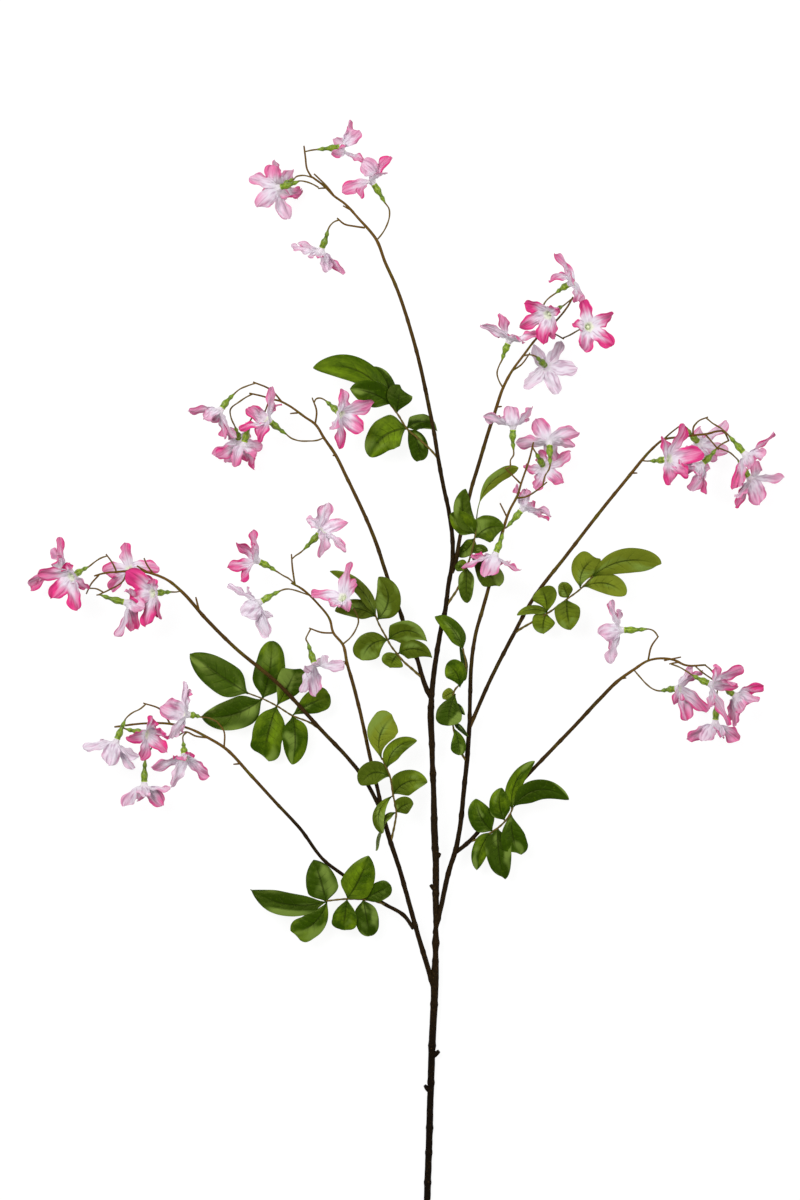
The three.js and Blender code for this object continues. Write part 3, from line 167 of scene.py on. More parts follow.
MIDDLE_TWIGS = [
    [[507.5, 518, 31, 0.8], [500, 503, 33, 0.6]],
    [[516, 498, 37, 0.8], [525, 497, 39.5, 0.8], [536, 491, 42, 0.7], [547, 482, 43, 0.6]],
    [[521, 484, 38, 0.8], [514, 477, 39, 0.7], [505, 468, 40, 0.6]],
]
RIGHT_STALK = [
    [469.8, 728, 18.2, 1.6], [479, 706, 18.8, 1.8], [491, 679, 19.5, 1.8], [502, 657, 20, 1.8],
    [514, 634, 21, 1.8], [532, 601, 23, 1.7], [567.6, 554, 28, 1.6], [608, 502, 33, 1.5],
    [630, 475, 36, 1.4], [642, 460, 37.5, 1.3], [652, 449, 38.5, 1.1], [663, 440, 39, 1],
    [681, 437, 39, 0.9], [706, 434, 39, 0.9], [724, 432, 38, 0.8], [729, 441, 37, 0.7],
]
LOWER_RIGHT_STALK = [
    [455.4, 853.5, 15, 1.7], [460, 850, 15, 2], [469.6, 842, 15.2, 2], [491.6, 816, 16, 1.9],
    [517, 787, 18.5, 1.8], [552, 750, 24, 1.7], [575, 726, 28, 1.7], [600, 699, 32, 1.7],
    [618, 681, 35, 1.5], [634, 669.5, 37, 1.2], [648.5, 660.5, 38, 1], [674, 660, 38.5, 1],
    [685, 665, 38.5, 0.9], [706, 665, 38, 0.8],
]
RIGHT_TWIGS = [
    [[632, 473, 36.2, 0.9], [637.5, 473, 36.5, 0.6]],
    [[663, 440, 39, 0.8], [670, 433.5, 37, 0.7], [681, 425, 35, 0.6]],
    [[693, 435.5, 39, 0.8], [693.5, 427, 41, 0.8], [698, 421.5, 42, 0.7], [708, 417, 43, 0.6]],
    [[705, 434, 39, 0.8], [711, 441, 41, 0.7], [718.5, 450, 42, 0.6]],
    [[621, 678.5, 35.3, 0.9], [626.5, 678, 35.5, 0.6]],
    [[664, 660.5, 38.2, 0.8], [681, 657, 41, 0.6]],
    [[648, 661, 38, 0.8], [651.5, 646, 40.5, 0.8], [658.5, 636, 42, 0.6]],
    [[680, 662, 38.5, 0.8], [674, 663, 40.5, 0.7], [669, 664, 41.5, 0.6]],
]

# Blooms by head. calyx: its foot and top on the sheet. z: height of its top. lean: share of its
# free depth that goes up to the top. pedicel: height at its start, then x, y pairs. floor: the
# least height of a petal tip. petals: x and y of the tip, share of the free depth, width.
BLOOMS = {
    "top": [
        {"calyx": [317, 150, 339.5, 148], "z": 47, "lean": 0.1, "pedicel": [43.5, 305, 152, 312, 150.5],
            "petals": [[358, 131, 0.4, 15], [352, 121, -0.3, 5], [365, 160, 0.3, 9],
                [334, 138, -0.8, 8], [334, 153, 0.9, 6]]},
        {"calyx": [385, 203, 374, 185], "z": 46, "lean": 0.2,
            "pedicel": [40.5, 377, 240, 382, 234, 387, 225, 389.5, 216, 389, 209],
            "petals": [[363, 162, 0.2, 16], [389, 156, -0.2, 9], [386, 173, 0.6, 6],
                [342, 191, 0.2, 14], [359, 197, 0.7, 8]]},
        {"calyx": [328, 230, 322, 247], "z": 33, "lean": -0.5,
            "pedicel": [39, 339, 220, 334, 222, 330, 226],
            "petals": [[292, 246, 0.1, 7], [298, 243, -0.6, 5], [315, 257, 0.8, 9],
                [328, 271, 0.3, 12], [343, 274, -0.2, 8]]},
        {"calyx": [299, 181.5, 281, 187], "z": 40, "lean": -0.4,
            "pedicel": [39.5, 318.5, 187.5, 313, 184.5, 306, 182],
            "petals": [[250, 177, -0.2, 13], [258, 207, 0, 15], [289, 219, 0, 14],
                [272, 165, -0.1, 15], [296, 199, -0.5, 7]]},
        {"calyx": [294, 179, 284, 185], "z": 20, "lean": -0.95, "floor": 0,
            "pedicel": [40, 312.5, 177.5, 302, 175.5, 296, 177],
            "petals": [[275, 160, -0.6, 9], [290, 168, -0.8, 8], [262, 190, -2, 10],
                [280, 208, -0.6, 10], [300, 190, -0.7, 8]]},
    ],
    "upper_right": [
        {"calyx": [556, 293, 568, 285], "z": 44, "lean": 0.3,
            "pedicel": [43.4, 540, 335, 540, 318, 546, 301],
            "petals": [[556, 254, 0.1, 8], [549, 278, 0.2, 7], [571, 272, 0.9, 7],
                [576, 303, 0.4, 8], [583, 306, -0.5, 6]]},
        {"calyx": [563, 306, 550, 314], "z": 56, "lean": 0.95, "pedicel": [42, 572, 299, 568, 302],
            "petals": [[524, 306, 0.5, 13], [520, 328, 0.5, 12], [541, 344, 0.5, 14],
                [553, 340, 0.4, 8], [558, 310, 0.6, 9]]},
        {"calyx": [502, 360, 508, 344], "z": 46, "lean": 0.1,
            "pedicel": [42, 503, 388, 499, 381, 497, 373, 499, 366],
            "petals": [[483, 324, 0.2, 10], [503, 315, -0.3, 11], [538, 333, 0.3, 8],
                [523, 341, 0.7, 7], [497, 333, -0.8, 7]]},
        {"calyx": [581, 329, 587, 328], "z": 62, "lean": 0.97,
            "pedicel": [37, 563, 338, 570, 335, 577, 331],
            "petals": [[583, 301, 0.4, 11], [612, 317, 0.4, 12], [611, 347, 0.4, 14],
                [584, 352, 0.4, 14], [572, 325, 0.5, 7]]},
        {"calyx": [536, 357, 545, 365], "z": 30, "lean": -0.97, "pedicel": [43.5, 523, 356, 530, 355],
            "petals": [[533, 345, -0.3, 9], [562, 341, -0.3, 12], [577, 368, -0.3, 14],
                [559, 393, -0.3, 14], [524, 386, -0.3, 13]]},
    ],
    "upper_left": [
        {"calyx": [234, 394, 222, 408], "z": 38, "lean": 0.2,
            "pedicel": [39, 256, 383, 247, 386, 240, 389],
            "petals": [[189, 413, 0.1, 9], [204, 419, 0.5, 10], [212, 421, -0.4, 8],
                [224, 438, 0.3, 8], [236, 438, -0.3, 7]]},
        {"calyx": [235, 427, 238, 438], "z": 14, "lean": -0.6,
            "pedicel": [31, 252, 394, 246, 397, 240, 401, 230, 410, 231, 418],
            "petals": [[213, 455, -0.2, 10], [225, 462, -0.5, 10], [262, 445, -0.4, 10],
                [250, 425, 0.1, 8], [228, 428, -0.2, 8]]},
        {"calyx": [250, 421, 244, 442], "z": 30, "lean": 0.3,
            "pedicel": [33, 264.5, 411, 258, 412, 253, 416],
            "petals": [[216, 457, 0.2, 12], [235, 467, 0.5, 12], [254, 468, 0.2, 9],
                [257, 453, 0.5, 9], [246, 462, -0.9, 9]]},
        {"calyx": [286, 434, 271, 422], "z": 44, "lean": 0.4,
            "pedicel": [33, 323, 438, 318, 440, 308, 441, 298, 440.5, 291, 438],
            "petals": [[272, 387, 0.3, 11], [248, 408, 0.4, 13], [239, 428, 0.3, 9],
                [258, 441, 0.4, 12], [279, 402, -0.3, 7]]},
        {"calyx": [326, 401, 338, 412], "z": 46, "lean": 0.5,
            "pedicel": [36.5, 314, 403, 316, 399, 319, 398, 323, 399],
            "petals": [[345, 390, 0.2, 9], [373, 405, 0.4, 14], [363, 431, 0.4, 14],
                [341, 449, 0.3, 9], [333, 431, 0.4, 8]]},
    ],
    "left": [
        {"calyx": [88, 567, 75, 575], "z": 44, "lean": 0.6,
            "pedicel": [40, 107, 556, 101, 558, 96, 561],
            "petals": [[38, 575, 0.3, 13], [52, 598, 0.4, 15], [76, 611, 0.3, 14],
                [66, 563, 0.3, 12], [86, 590, -0.3, 8]]},
        {"calyx": [76, 584, 62, 572], "z": 22, "lean": -0.3, "floor": 0,
            "pedicel": [41, 103, 592, 97, 589, 88, 588, 80, 586],
            "petals": [[51, 549, 0.1, 10], [59, 537, -0.2, 9], [58, 557, 0.6, 6],
                [27, 583, 0, 9], [30, 590, -2, 7]]},
        {"calyx": [101, 595, 124, 602], "z": 46, "lean": 0, "pedicel": [41, 97, 595],
            "petals": [[118, 637, 0.2, 9], [131, 631, -0.3, 9], [138, 629, 0.3, 13],
                [145, 608, 0.5, 14], [129, 590, 0.5, 13]]},
        {"calyx": [171, 592, 157, 593], "z": 48, "lean": 0.5, "pedicel": [35.5, 181, 591, 176, 592],
            "petals": [[146, 626, 0.4, 14], [159, 619, 0.4, 7], [131, 599, 0.5, 14],
                [126, 572, 0.3, 17], [153, 579, 0.4, 12]]},
        {"calyx": [140, 580, 131, 572], "z": 20, "lean": 0.4,
            "pedicel": [35, 137, 566, 142, 570, 143, 577],
            "petals": [[124, 543, 0.2, 9], [103, 572, 0.1, 14], [111, 591, 0.1, 12],
                [159, 569, 0.1, 10], [153, 586, 0, 9]]},
    ],
    "middle_left": [
        {"calyx": [304, 549.5, 319, 534], "z": 48, "lean": 0.3,
            "pedicel": [44, 292, 559, 296, 555.5, 300, 553],
            "petals": [[327, 504, 0.3, 14], [346, 521, 0.3, 12], [347, 550, 0.3, 12],
                [322, 556, 0.4, 11], [307, 520, 0.4, 12]]},
        {"calyx": [276, 571, 260, 562], "z": 44, "lean": 0.2,
            "pedicel": [41, 294, 583, 288, 578, 284, 576],
            "petals": [[252, 530, 0.2, 10], [251, 545, 0.8, 5], [237, 543, -0.3, 9],
                [228, 566, 0.2, 13], [240, 580, 0.4, 9]]},
        {"calyx": [280, 591, 262, 601], "z": 46, "lean": 0.2,
            "pedicel": [40.5, 309, 595, 303, 593, 294, 590, 287, 589],
            "petals": [[229, 585, 0.2, 9], [246, 587, -0.4, 6], [244, 616, 0.3, 18],
                [268, 637, 0.2, 14], [272, 618, -0.3, 8]]},
        {"calyx": [308, 643, 314, 662], "z": 46, "lean": 0.1,
            "pedicel": [41, 311, 628.5, 308, 634, 306, 639],
            "petals": [[303, 692, 0.2, 11], [317, 694, 0.5, 14], [344, 664, 0.2, 13],
                [307, 666, 0.9, 10], [322, 657, -0.9, 7]]},
        {"calyx": [353, 608, 345, 600], "z": 58, "lean": 0.6,
            "pedicel": [37, 343, 644, 350, 638, 356, 629, 358.5, 621, 356, 613],
            "petals": [[350, 562, 0.3, 9], [355, 580, 0.5, 8], [346, 611, 0.3, 9],
                [312, 594, 0.3, 9], [331, 604, 0.4, 8]]},
    ],
    "lower_left": [
        {"calyx": [125, 720, 117, 739], "z": 38, "lean": 0.1,
            "pedicel": [36, 146, 704, 140, 709, 132, 713],
            "petals": [[84, 749, 0.2, 11], [109, 764, 0.4, 15], [133, 769, 0.2, 10],
                [138, 758, -0.3, 9], [103, 742, -0.8, 8]]},
        {"calyx": [126, 729, 143, 733], "z": 44, "lean": 0.4, "pedicel": [31, 115, 727, 121, 727],
            "petals": [[154, 716, 0.1, 9], [128, 738, 0.5, 9], [142, 759, 0.3, 13],
                [167, 751, 0.3, 13], [167, 736, 0.4, 8]]},
        {"calyx": [200, 717, 190, 715], "z": 36, "lean": 0.15, "pedicel": [25, 217, 722, 208, 718],
            "petals": [[185, 683, 0.2, 9], [190, 690, -0.2, 8], [162, 706, 0.2, 18],
                [172, 738, 0.2, 12], [181, 733, -0.3, 8]]},
        {"calyx": [183, 742, 184, 754], "z": 42, "lean": 0.4, "pedicel": [33, 187, 732, 183, 736],
            "petals": [[152, 768, 0.3, 10], [171, 786, 0.4, 7], [209, 776, 0.3, 12],
                [177, 757, 0.6, 8], [190, 752, 0.1, 9]]},
        {"calyx": [145, 760, 144, 782], "z": 30, "lean": 0, "pedicel": [30, 155, 742, 150, 750],
            "petals": [[125, 806, 0.1, 13], [137, 801, -0.5, 9], [145, 797, 0.9, 12],
                [162, 805, -0.1, 15], [170, 789, 0.3, 6]]},
    ],
    "middle": [
        {"calyx": [513.5, 450, 513, 430], "z": 46, "lean": 0.1,
            "pedicel": [40, 505.5, 469, 509.7, 467, 510.5, 460, 513.5, 455],
            "petals": [[484, 416, 0.2, 11], [510, 407, 0.3, 14], [531, 407, 0.1, 8],
                [502, 416, -0.8, 8], [524, 418, -0.7, 8]]},
        {"calyx": [550, 465, 549.5, 446], "z": 36, "lean": -0.8,
            "pedicel": [42.8, 542.6, 486, 545, 476, 549, 469],
            "petals": [[517, 445, -0.3, 13], [536, 419, -0.3, 15], [577, 431, -0.3, 14],
                [575, 446, -0.4, 8], [556, 460, -0.8, 9]]},
        {"calyx": [536, 453, 543, 465], "z": 24, "lean": -0.8, "pedicel": [39, 532, 446, 534, 450],
            "petals": [[571.5, 453, -0.2, 10], [563, 483, -0.2, 12], [535, 488, -0.2, 12],
                [523, 468, -0.2, 9], [540, 451, -0.5, 9]]},
        {"calyx": [507, 527, 521, 511], "z": 28, "lean": 0, "pedicel": [30, 503.5, 529],
            "petals": [[527, 489, 0, 12], [516, 485, -0.3, 6], [551, 513, 0.1, 7],
                [548, 519, -0.4, 6], [531, 500, -0.9, 11]]},
        {"calyx": [503, 533, 496, 552], "z": 43, "lean": 0.1, "pedicel": [29, 504.5, 526],
            "petals": [[462, 568, 0.2, 6], [472, 556, -0.2, 8], [486, 576, 0.5, 15],
                [519, 571, 0.1, 6], [508, 564, -0.5, 6]]},
    ],
    "right": [
        {"calyx": [650, 461, 665, 459.5], "z": 50, "lean": 0.6, "pedicel": [37.5, 641, 460, 645, 461],
            "petals": [[685, 425, 0.3, 11], [662, 436, 0.4, 7], [702, 452, 0.6, 15],
                [671, 484, 0.4, 14], [688, 474, 0.8, 12]]},
        {"calyx": [716, 449, 703.5, 462.5], "z": 40, "lean": -0.1,
            "pedicel": [37, 729, 440.5, 722, 444],
            "petals": [[692, 491, 0.1, 14], [705, 494, -0.2, 6], [710, 470, -0.4, 6],
                [697, 478, 0.9, 12], [680, 466, 0.6, 17]]},
        {"calyx": [687, 428, 698, 441], "z": 20, "lean": -0.8, "pedicel": [35, 680, 425.5, 684, 425.5],
            "petals": [[728, 421, 0.2, 9], [702, 427, -0.4, 9], [729, 451, 0, 13],
                [718, 459, -0.2, 10], [683, 452, -0.4, 10]]},
        {"calyx": [729, 436, 743, 452], "z": 40, "lean": -0.2,
            "pedicel": [42.6, 706, 418, 712, 423, 721, 428.5],
            "petals": [[775, 434, 0.3, 6], [765, 455, 0.3, 14], [752, 467, 0.8, 11],
                [733, 489, 0.2, 13], [743, 486, -0.3, 9]]},
        {"calyx": [738.5, 460, 749, 476], "z": 22, "lean": -0.3,
            "pedicel": [42, 718, 448, 724, 450, 730, 452.5, 735, 456.5], "floor": 0,
            "petals": [[784, 478, 0.3, 9], [760, 503, 0.2, 15], [737, 506, 0.1, 12],
                [736, 497, 0.7, 7], [757, 462, -2, 8]]},
    ],
    "lower_right": [
        {"calyx": [647, 629, 624, 630], "z": 42, "lean": 0,
            "pedicel": [42, 658, 637, 656, 633.5, 653, 630.5],
            "petals": [[608.5, 602, 0.1, 9], [621.5, 611, -0.7, 6], [600, 635, 0.5, 15],
                [610, 663, 0.2, 11], [612, 649, -0.5, 9]]},
        {"calyx": [661, 691, 675, 689], "z": 33, "lean": 0.2,
            "pedicel": [37, 634, 670, 640, 677, 647, 684.5, 653, 689],
            "petals": [[675, 705, 0.3, 8], [693, 668, -0.1, 9], [703, 671, -0.6, 8],
                [707, 711, 0.3, 13], [688, 720, 0.3, 14]]},
        {"calyx": [692, 675, 708, 683], "z": 50, "lean": 0.1,
            "pedicel": [41.5, 671, 664, 679, 667, 686, 671],
            "petals": [[716, 665, 0.3, 9], [743, 668, 0.2, 13], [737, 685, 0.6, 8],
                [711, 708, 0.5, 7], [728, 724, 0.2, 8]]},
        {"calyx": [722, 686, 733, 694], "z": 30, "lean": -0.3,
            "pedicel": [38.5, 694, 665, 702, 672, 712, 679],
            "petals": [[764, 687, 0.2, 12], [757, 703, 0.5, 12], [743, 712, 0.8, 13],
                [736, 726, 0.2, 9], [727, 722, -0.5, 8]]},
        {"calyx": [717, 697, 716, 720], "z": 26, "lean": 0, "floor": 0,
            "pedicel": [38, 705, 665, 711, 670, 716, 677, 718, 688],
            "petals": [[688, 740, 0.2, 13], [704, 740, 0.6, 14], [720, 738, 0.9, 8],
                [739, 741, 0.2, 14], [726, 735, -2, 9]]},
    ],
}

# Leafy sprays: the route of the rib, then a row for each leaf, with x and y of its foot, x and y
# of its tip, its width as seen, and the heights of foot and tip. What may follow is its sideways
# bow, its arch, its tilt in degrees, and how much fuller it is towards the tip.
SPRAYS = {
    "top": {"rib": [[438, 458, 33, 1.2], [430, 449, 32, 1.1], [418, 438, 30, 1], [407, 428.5, 29, 1],
        [398, 414.5, 30, 1], [391, 405, 31, 0.9]],
        "leaves": [[392, 406.5, 313, 367.5, 27, 31, 38, -17.5, 4, 15, 0.5],
            [391, 404, 350, 389, 26, 32, 42, -3, 6, -12],
            [392, 404, 373, 366, 16, 30, 24, -5, 0, 30],
            [397, 413, 401.5, 388, 25, 30, 36, 0, 3, 20, 1],
            [407, 428, 370.5, 457, 33, 29, 24, -8.5, 3, 10, -0.3],
            [407, 428, 437, 431, 15, 29, 26, 7.5, 0, 30, -0.6],
            [407, 429, 418.5, 461, 20, 29, 25, 5, 2, 15, 0.5]]},
    "upper_right": {"rib": [[446, 607, 24.6, 1.2], [451, 599, 25.5, 1.3], [457, 590, 27, 1.2],
        [464, 574, 29, 1.1], [470, 558, 30.5, 1], [475, 537, 32, 0.9], [477, 518, 33, 0.8]],
        "leaves": [[476.8, 521, 518.5, 468, 12, 33, 36, 12.5, 0, 20, 2],
            [476, 538, 504, 527.5, 27, 32, 36, 5, 2, 0, -0.4],
            [475, 533, 466, 489, 19, 32, 39, 7, 2, 20], [475, 534, 450, 514, 22, 32, 37, -1, 2, -15],
            [474, 538, 456, 555, 14, 31, 22, 3, 0, 20], [470.6, 556, 497, 586, 24, 31, 32, 2, 2, 0, 1],
            [472, 553, 488, 551, 10, 31, 31, 3, 0, 0], [467, 567, 467, 603, 16, 30, 30, -1, 2, 10],
            [468, 566, 457, 571, 12, 30, 33, -3, 0, 20]]},
    "right": {"rib": [[514, 634, 21, 1.1], [520, 629.5, 22, 1.2], [532, 622.5, 24, 1.1],
        [549, 612.5, 27, 1], [568, 598.5, 30, 0.9], [580, 589.5, 32, 0.9], [593, 576, 34, 0.8]],
        "leaves": [[591.5, 577.5, 659.5, 565, 26, 34, 36, 10, 4, 10, 0.5],
            [580.5, 588, 597, 558, 28, 33, 37, 6, 2, 10, 0.9],
            [583, 587, 626, 595, 22, 33, 31, 8, 3, -10, 0.5],
            [569, 598, 562, 582, 15, 30, 35, 0, 2, 10],
            [547, 612, 541, 588, 25, 27, 34, -2, 2, 0, 1], [567, 599, 571, 630, 26, 30, 27, -1, 3, -10],
            [547, 613, 544, 634, 23, 27, 24, -2, 2, 0], [549, 613, 517, 615, 9, 27, 29, -5, 1, 30]]},
    "upper_left": {"rib": [[423, 679, 18.5, 1.2], [412, 669, 21, 1.3], [404, 662, 22.5, 1.1],
        [398, 655, 24, 1], [391, 646, 26, 1], [386, 637, 28, 1], [378, 622, 31, 0.9],
        [375, 614, 32, 0.8]],
        "leaves": [[376, 617, 330, 571, 13, 32, 36, -9, 3, 20],
            [376, 617, 335, 611, 19, 31, 32, -6, 2, 10],
            [377, 620, 378.5, 577, 26, 31, 36, -10.5, 2, 0],
            [388, 640, 362, 660.5, 29, 28, 25, -6.5, 3, 0, 0.6],
            [388, 640, 427, 641.5, 21, 28, 26, 9.5, 3, 15, -0.6],
            [398, 654, 390, 668, 24, 24, 22, -1, 2, 0, 0.5],
            [398, 654, 432, 658, 18, 24, 24, 6.5, 2, 15, -0.6]]},
    "middle": {"rib": [[467.3, 763, 17, 1.2], [463, 756, 19, 1.2], [457, 742, 21, 1.1],
        [453.5, 728, 23, 1], [452.5, 706, 25, 1], [455, 690, 26.5, 1], [462, 682, 28, 0.9],
        [466, 668, 29, 0.9], [463, 648, 30, 0.8]],
        "leaves": [[463.3, 650, 436, 616, 17, 30, 34, -5, 3, 10],
            [465, 675, 460, 647, 6, 28.5, 27, -2, 0, 50],
            [460, 687.5, 446.5, 664, 22, 28, 32, -4, 3, 0, 0.8],
            [462, 682, 468, 669, 5, 28, 27, 0, 0, 50],
            [455, 692, 443, 699, 12, 26, 23, -1, 1, 0],
            [455.5, 694, 448.5, 726, 26, 25.5, 31, -2, 3, 0, 1],
            [453, 702, 465, 715, 5, 25, 24, 0, 0, 50],
            [453.5, 722, 468, 737, 5, 23.5, 25, 0, 0, 50],
            [453.5, 728, 457, 755, 15, 23, 27, 3, 2, 0, 1]]},
    "left": {"rib": [[322, 731, 24.5, 1.2], [309.4, 722.7, 21, 1], [292, 715.8, 18, 0.9],
        [276.6, 706.3, 15, 0.9], [263, 699.4, 13, 0.8], [247.4, 693.4, 12, 0.8]],
        "leaves": [[248, 694, 189, 654, 33, 12, 0, 1, 4, 0], [262, 699, 200.5, 717, 32, 13, 9, 7, 4, 0],
            [262, 699, 271, 641, 32, 13, 17, -3, 4, 0], [276.5, 706, 296, 669, 27, 15, 20, -1, 3, 0, 1],
            [276.5, 706, 264, 758, 33, 15, 12, -2, 4, 0, 0.3],
            [292, 715.8, 292, 765, 26, 18, 13, 3, 3, 0],
            [292, 715.8, 330, 696, 24, 18, 18, 2, 3, 0, 1]]},
    "middle_left": {"rib": [[390.5, 845, 17, 1.3], [392.3, 836, 18, 1.2], [394.5, 826, 20, 1.1],
        [396.3, 812, 22, 1], [393, 795, 25, 1], [390, 777, 28, 1], [386, 767, 30, 0.9],
        [382, 758, 31, 0.9]],
        "leaves": [[382, 760, 393, 717, 29, 31, 37, 8, 3, 0, 1.2],
            [387, 769, 417, 741, 17, 30, 33, 8.5, 2, 10],
            [390, 777, 361, 785.5, 25, 28, 31, -8.5, 2, 0, 0.3],
            [393, 795, 427.5, 782.5, 25, 25, 28, 7, 3, 0, -0.1],
            [396.3, 813, 413.5, 804, 18.5, 22, 26, 3, 2, 0, 0.1],
            [393, 796, 382, 834, 12, 25, 27, -9, 1, 20, 0.6],
            [396, 813, 383, 833, 6, 22, 24, -6, 0, 40],
            [381, 829, 375.5, 851, 3.5, 26.5, 22, 0, 0, 70]]},
    "lower_right": {"rib": [[469, 842.5, 15.2, 1.2], [480, 839, 17, 1.2], [493, 832, 20, 1.1],
        [503, 824, 23, 1], [510, 815, 25, 1], [513, 808, 26, 0.9]],
        "leaves": [[513, 808, 569, 800, 21, 26, 28, 14, 3, 10],
            [512, 810, 535, 761.5, 15.5, 25.5, 30, 8, 2, 10],
            [505, 821, 502, 788, 21, 23.5, 30, 4, 3, 0], [493, 832, 476, 799, 25, 20, 27, 4, 3, 0],
            [511, 813, 518, 854, 25, 25, 21, -2, 3, 0, 1], [498, 828, 504, 879, 26, 21.5, 17, -2, 3, 0],
            [492, 832, 477, 871, 17, 20, 15, -4, 3, 0]]},
    "lower_left": {"rib": [[386, 905.5, 14.6, 1.2], [375, 902, 17.5, 1.1], [363, 900, 20, 1.1],
        [347, 899.5, 22.5, 1], [326, 901.5, 24, 0.9]],
        "leaves": [[327, 902, 250, 890, 25, 24, 22, 9, 3, 0, 0.4],
            [326, 903, 313.5, 860, 31, 24, 29, -1, 3, 0, -0.15],
            [327, 901.5, 293, 934, 25, 24, 20, 7, 3, 0, 0.8],
            [347, 900, 368.5, 856, 31, 22.5, 28, -2, 3, 0, -0.2],
            [347, 899.5, 343, 931, 25, 22.5, 19, 0, 3, 0, 0.8],
            [363, 900, 391, 886, 20, 20, 23, 0, 3, 0, 0.5],
            [363, 900, 370, 937, 25, 20, 15, 0, 3, 0, 0.3]]},
}


# Shape helpers. Points are in millimetres in the part's own frame until a mesh is made.
def at(x, y, z):
    """A point of the layout sheet, in the part's frame."""
    return np.array((x - SHEET_ORIGIN_X, SHEET_ORIGIN_Y - y, z), float)


def unit(v):
    return v / np.maximum(np.linalg.norm(v, axis=-1, keepdims=True), 1e-9)


def spline(knots, rows, where):
    """A smooth curve through rows at knots, read at where."""
    knots, rows = np.asarray(knots, float), np.asarray(rows, float)
    slope = np.gradient(rows, knots, axis=0)
    i = np.clip(np.searchsorted(knots, where, side="right") - 1, 0, len(knots) - 2)
    h = (knots[i + 1] - knots[i]).reshape(-1, *[1] * (rows.ndim - 1))
    t = (np.asarray(where) - knots[i]).reshape(h.shape) / h
    return ((2 * t**3 - 3 * t**2 + 1) * rows[i] + (t**3 - 2 * t**2 + t) * h * slope[i]
            + (3 * t**2 - 2 * t**3) * rows[i + 1] + (t**3 - t**2) * h * slope[i + 1])


def ease(a, b, x):
    """0 below a, 1 above b and a soft step between."""
    t = np.clip((x - a) / (b - a), 0, 1)
    return t * t * (3 - 2 * t)


def lengths(points):
    """Distance along a row of points."""
    steps = np.linalg.norm(np.diff(points[:, :3], axis=0), axis=1)
    return np.concatenate(([0.0], np.cumsum(steps)))


def resample(points, step):
    """The same route, smoothed, with a point about every step millimetres."""
    s = lengths(points)
    count = max(int(round(s[-1] / step)), 3) + 1
    return spline(s, points, np.linspace(0, s[-1], count))


SHARP_ANGLE = 55
LEAST_HEIGHT = 0.9
MARKS_PER_POINT = 4


class Shape:
    """Collects closed bodies, with four marks on each point for the finish."""

    def __init__(self):
        self.points, self.marks, self.quads, self.tris, self.finish = [], [], [], [], []
        self.count = 0

    def add(self, points, marks, quads, tris=(), finish=0):
        """Adds a closed body. finish is the number of its material within the piece."""
        quads, tris = np.reshape(quads, (-1, 4)), np.reshape(tris, (-1, 3))
        self.points.append(np.reshape(points, (-1, 3)))
        self.marks.append(np.reshape(marks, (-1, MARKS_PER_POINT)))
        self.quads.append(quads + self.count)
        self.tris.append(tris + self.count)
        self.finish.append((finish, len(quads), len(tris)))
        self.count += len(self.points[-1])

    def piece(self, name, materials, slot, nodes):
        """Makes the object, on the part's one body. nodes are the CAD nodes that it replaces."""
        faces = [f for rows in self.quads for f in rows.tolist()]
        faces += [f for rows in self.tris for f in rows.tolist()]
        which = [k for k, q, _ in self.finish for _ in range(q)]
        which += [k for k, _, t in self.finish for _ in range(t)]
        mesh = bpy.data.meshes.new(name)
        mesh.from_pydata((np.vstack(self.points) * MM).tolist(), [], faces)
        marks = mesh.attributes.new("marks", "FLOAT_COLOR", "POINT")
        marks.data.foreach_set("color", np.vstack(self.marks).astype(np.float32).ravel())
        for material in materials:
            mesh.materials.append(material)
        mesh.polygons.foreach_set("material_index", which)
        mesh.polygons.foreach_set("use_smooth", [True] * len(faces))
        mesh.set_sharp_from_angle(angle=math.radians(SHARP_ANGLE))
        mesh.validate()
        made = bpy.data.objects.new(name, mesh)
        bpy.context.scene.collection.objects.link(made)
        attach(made, "root")
        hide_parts(*nodes)


def side_of(axis, upright=0.9):
    """A direction across an axis, and level unless the axis is nearly upright."""
    return unit(np.cross(axis, X_AXIS if abs(axis[2]) > upright else Z_AXIS))


def carried(points):
    """Directions across and above a route, turned as little as possible."""
    along = unit(np.gradient(points, axis=0))
    across = [side_of(along[0], 0.95)]
    for a in along[1:]:
        across.append(unit(across[-1] - a * np.dot(across[-1], a)))
    across = np.array(across)
    return across, np.cross(across, along)


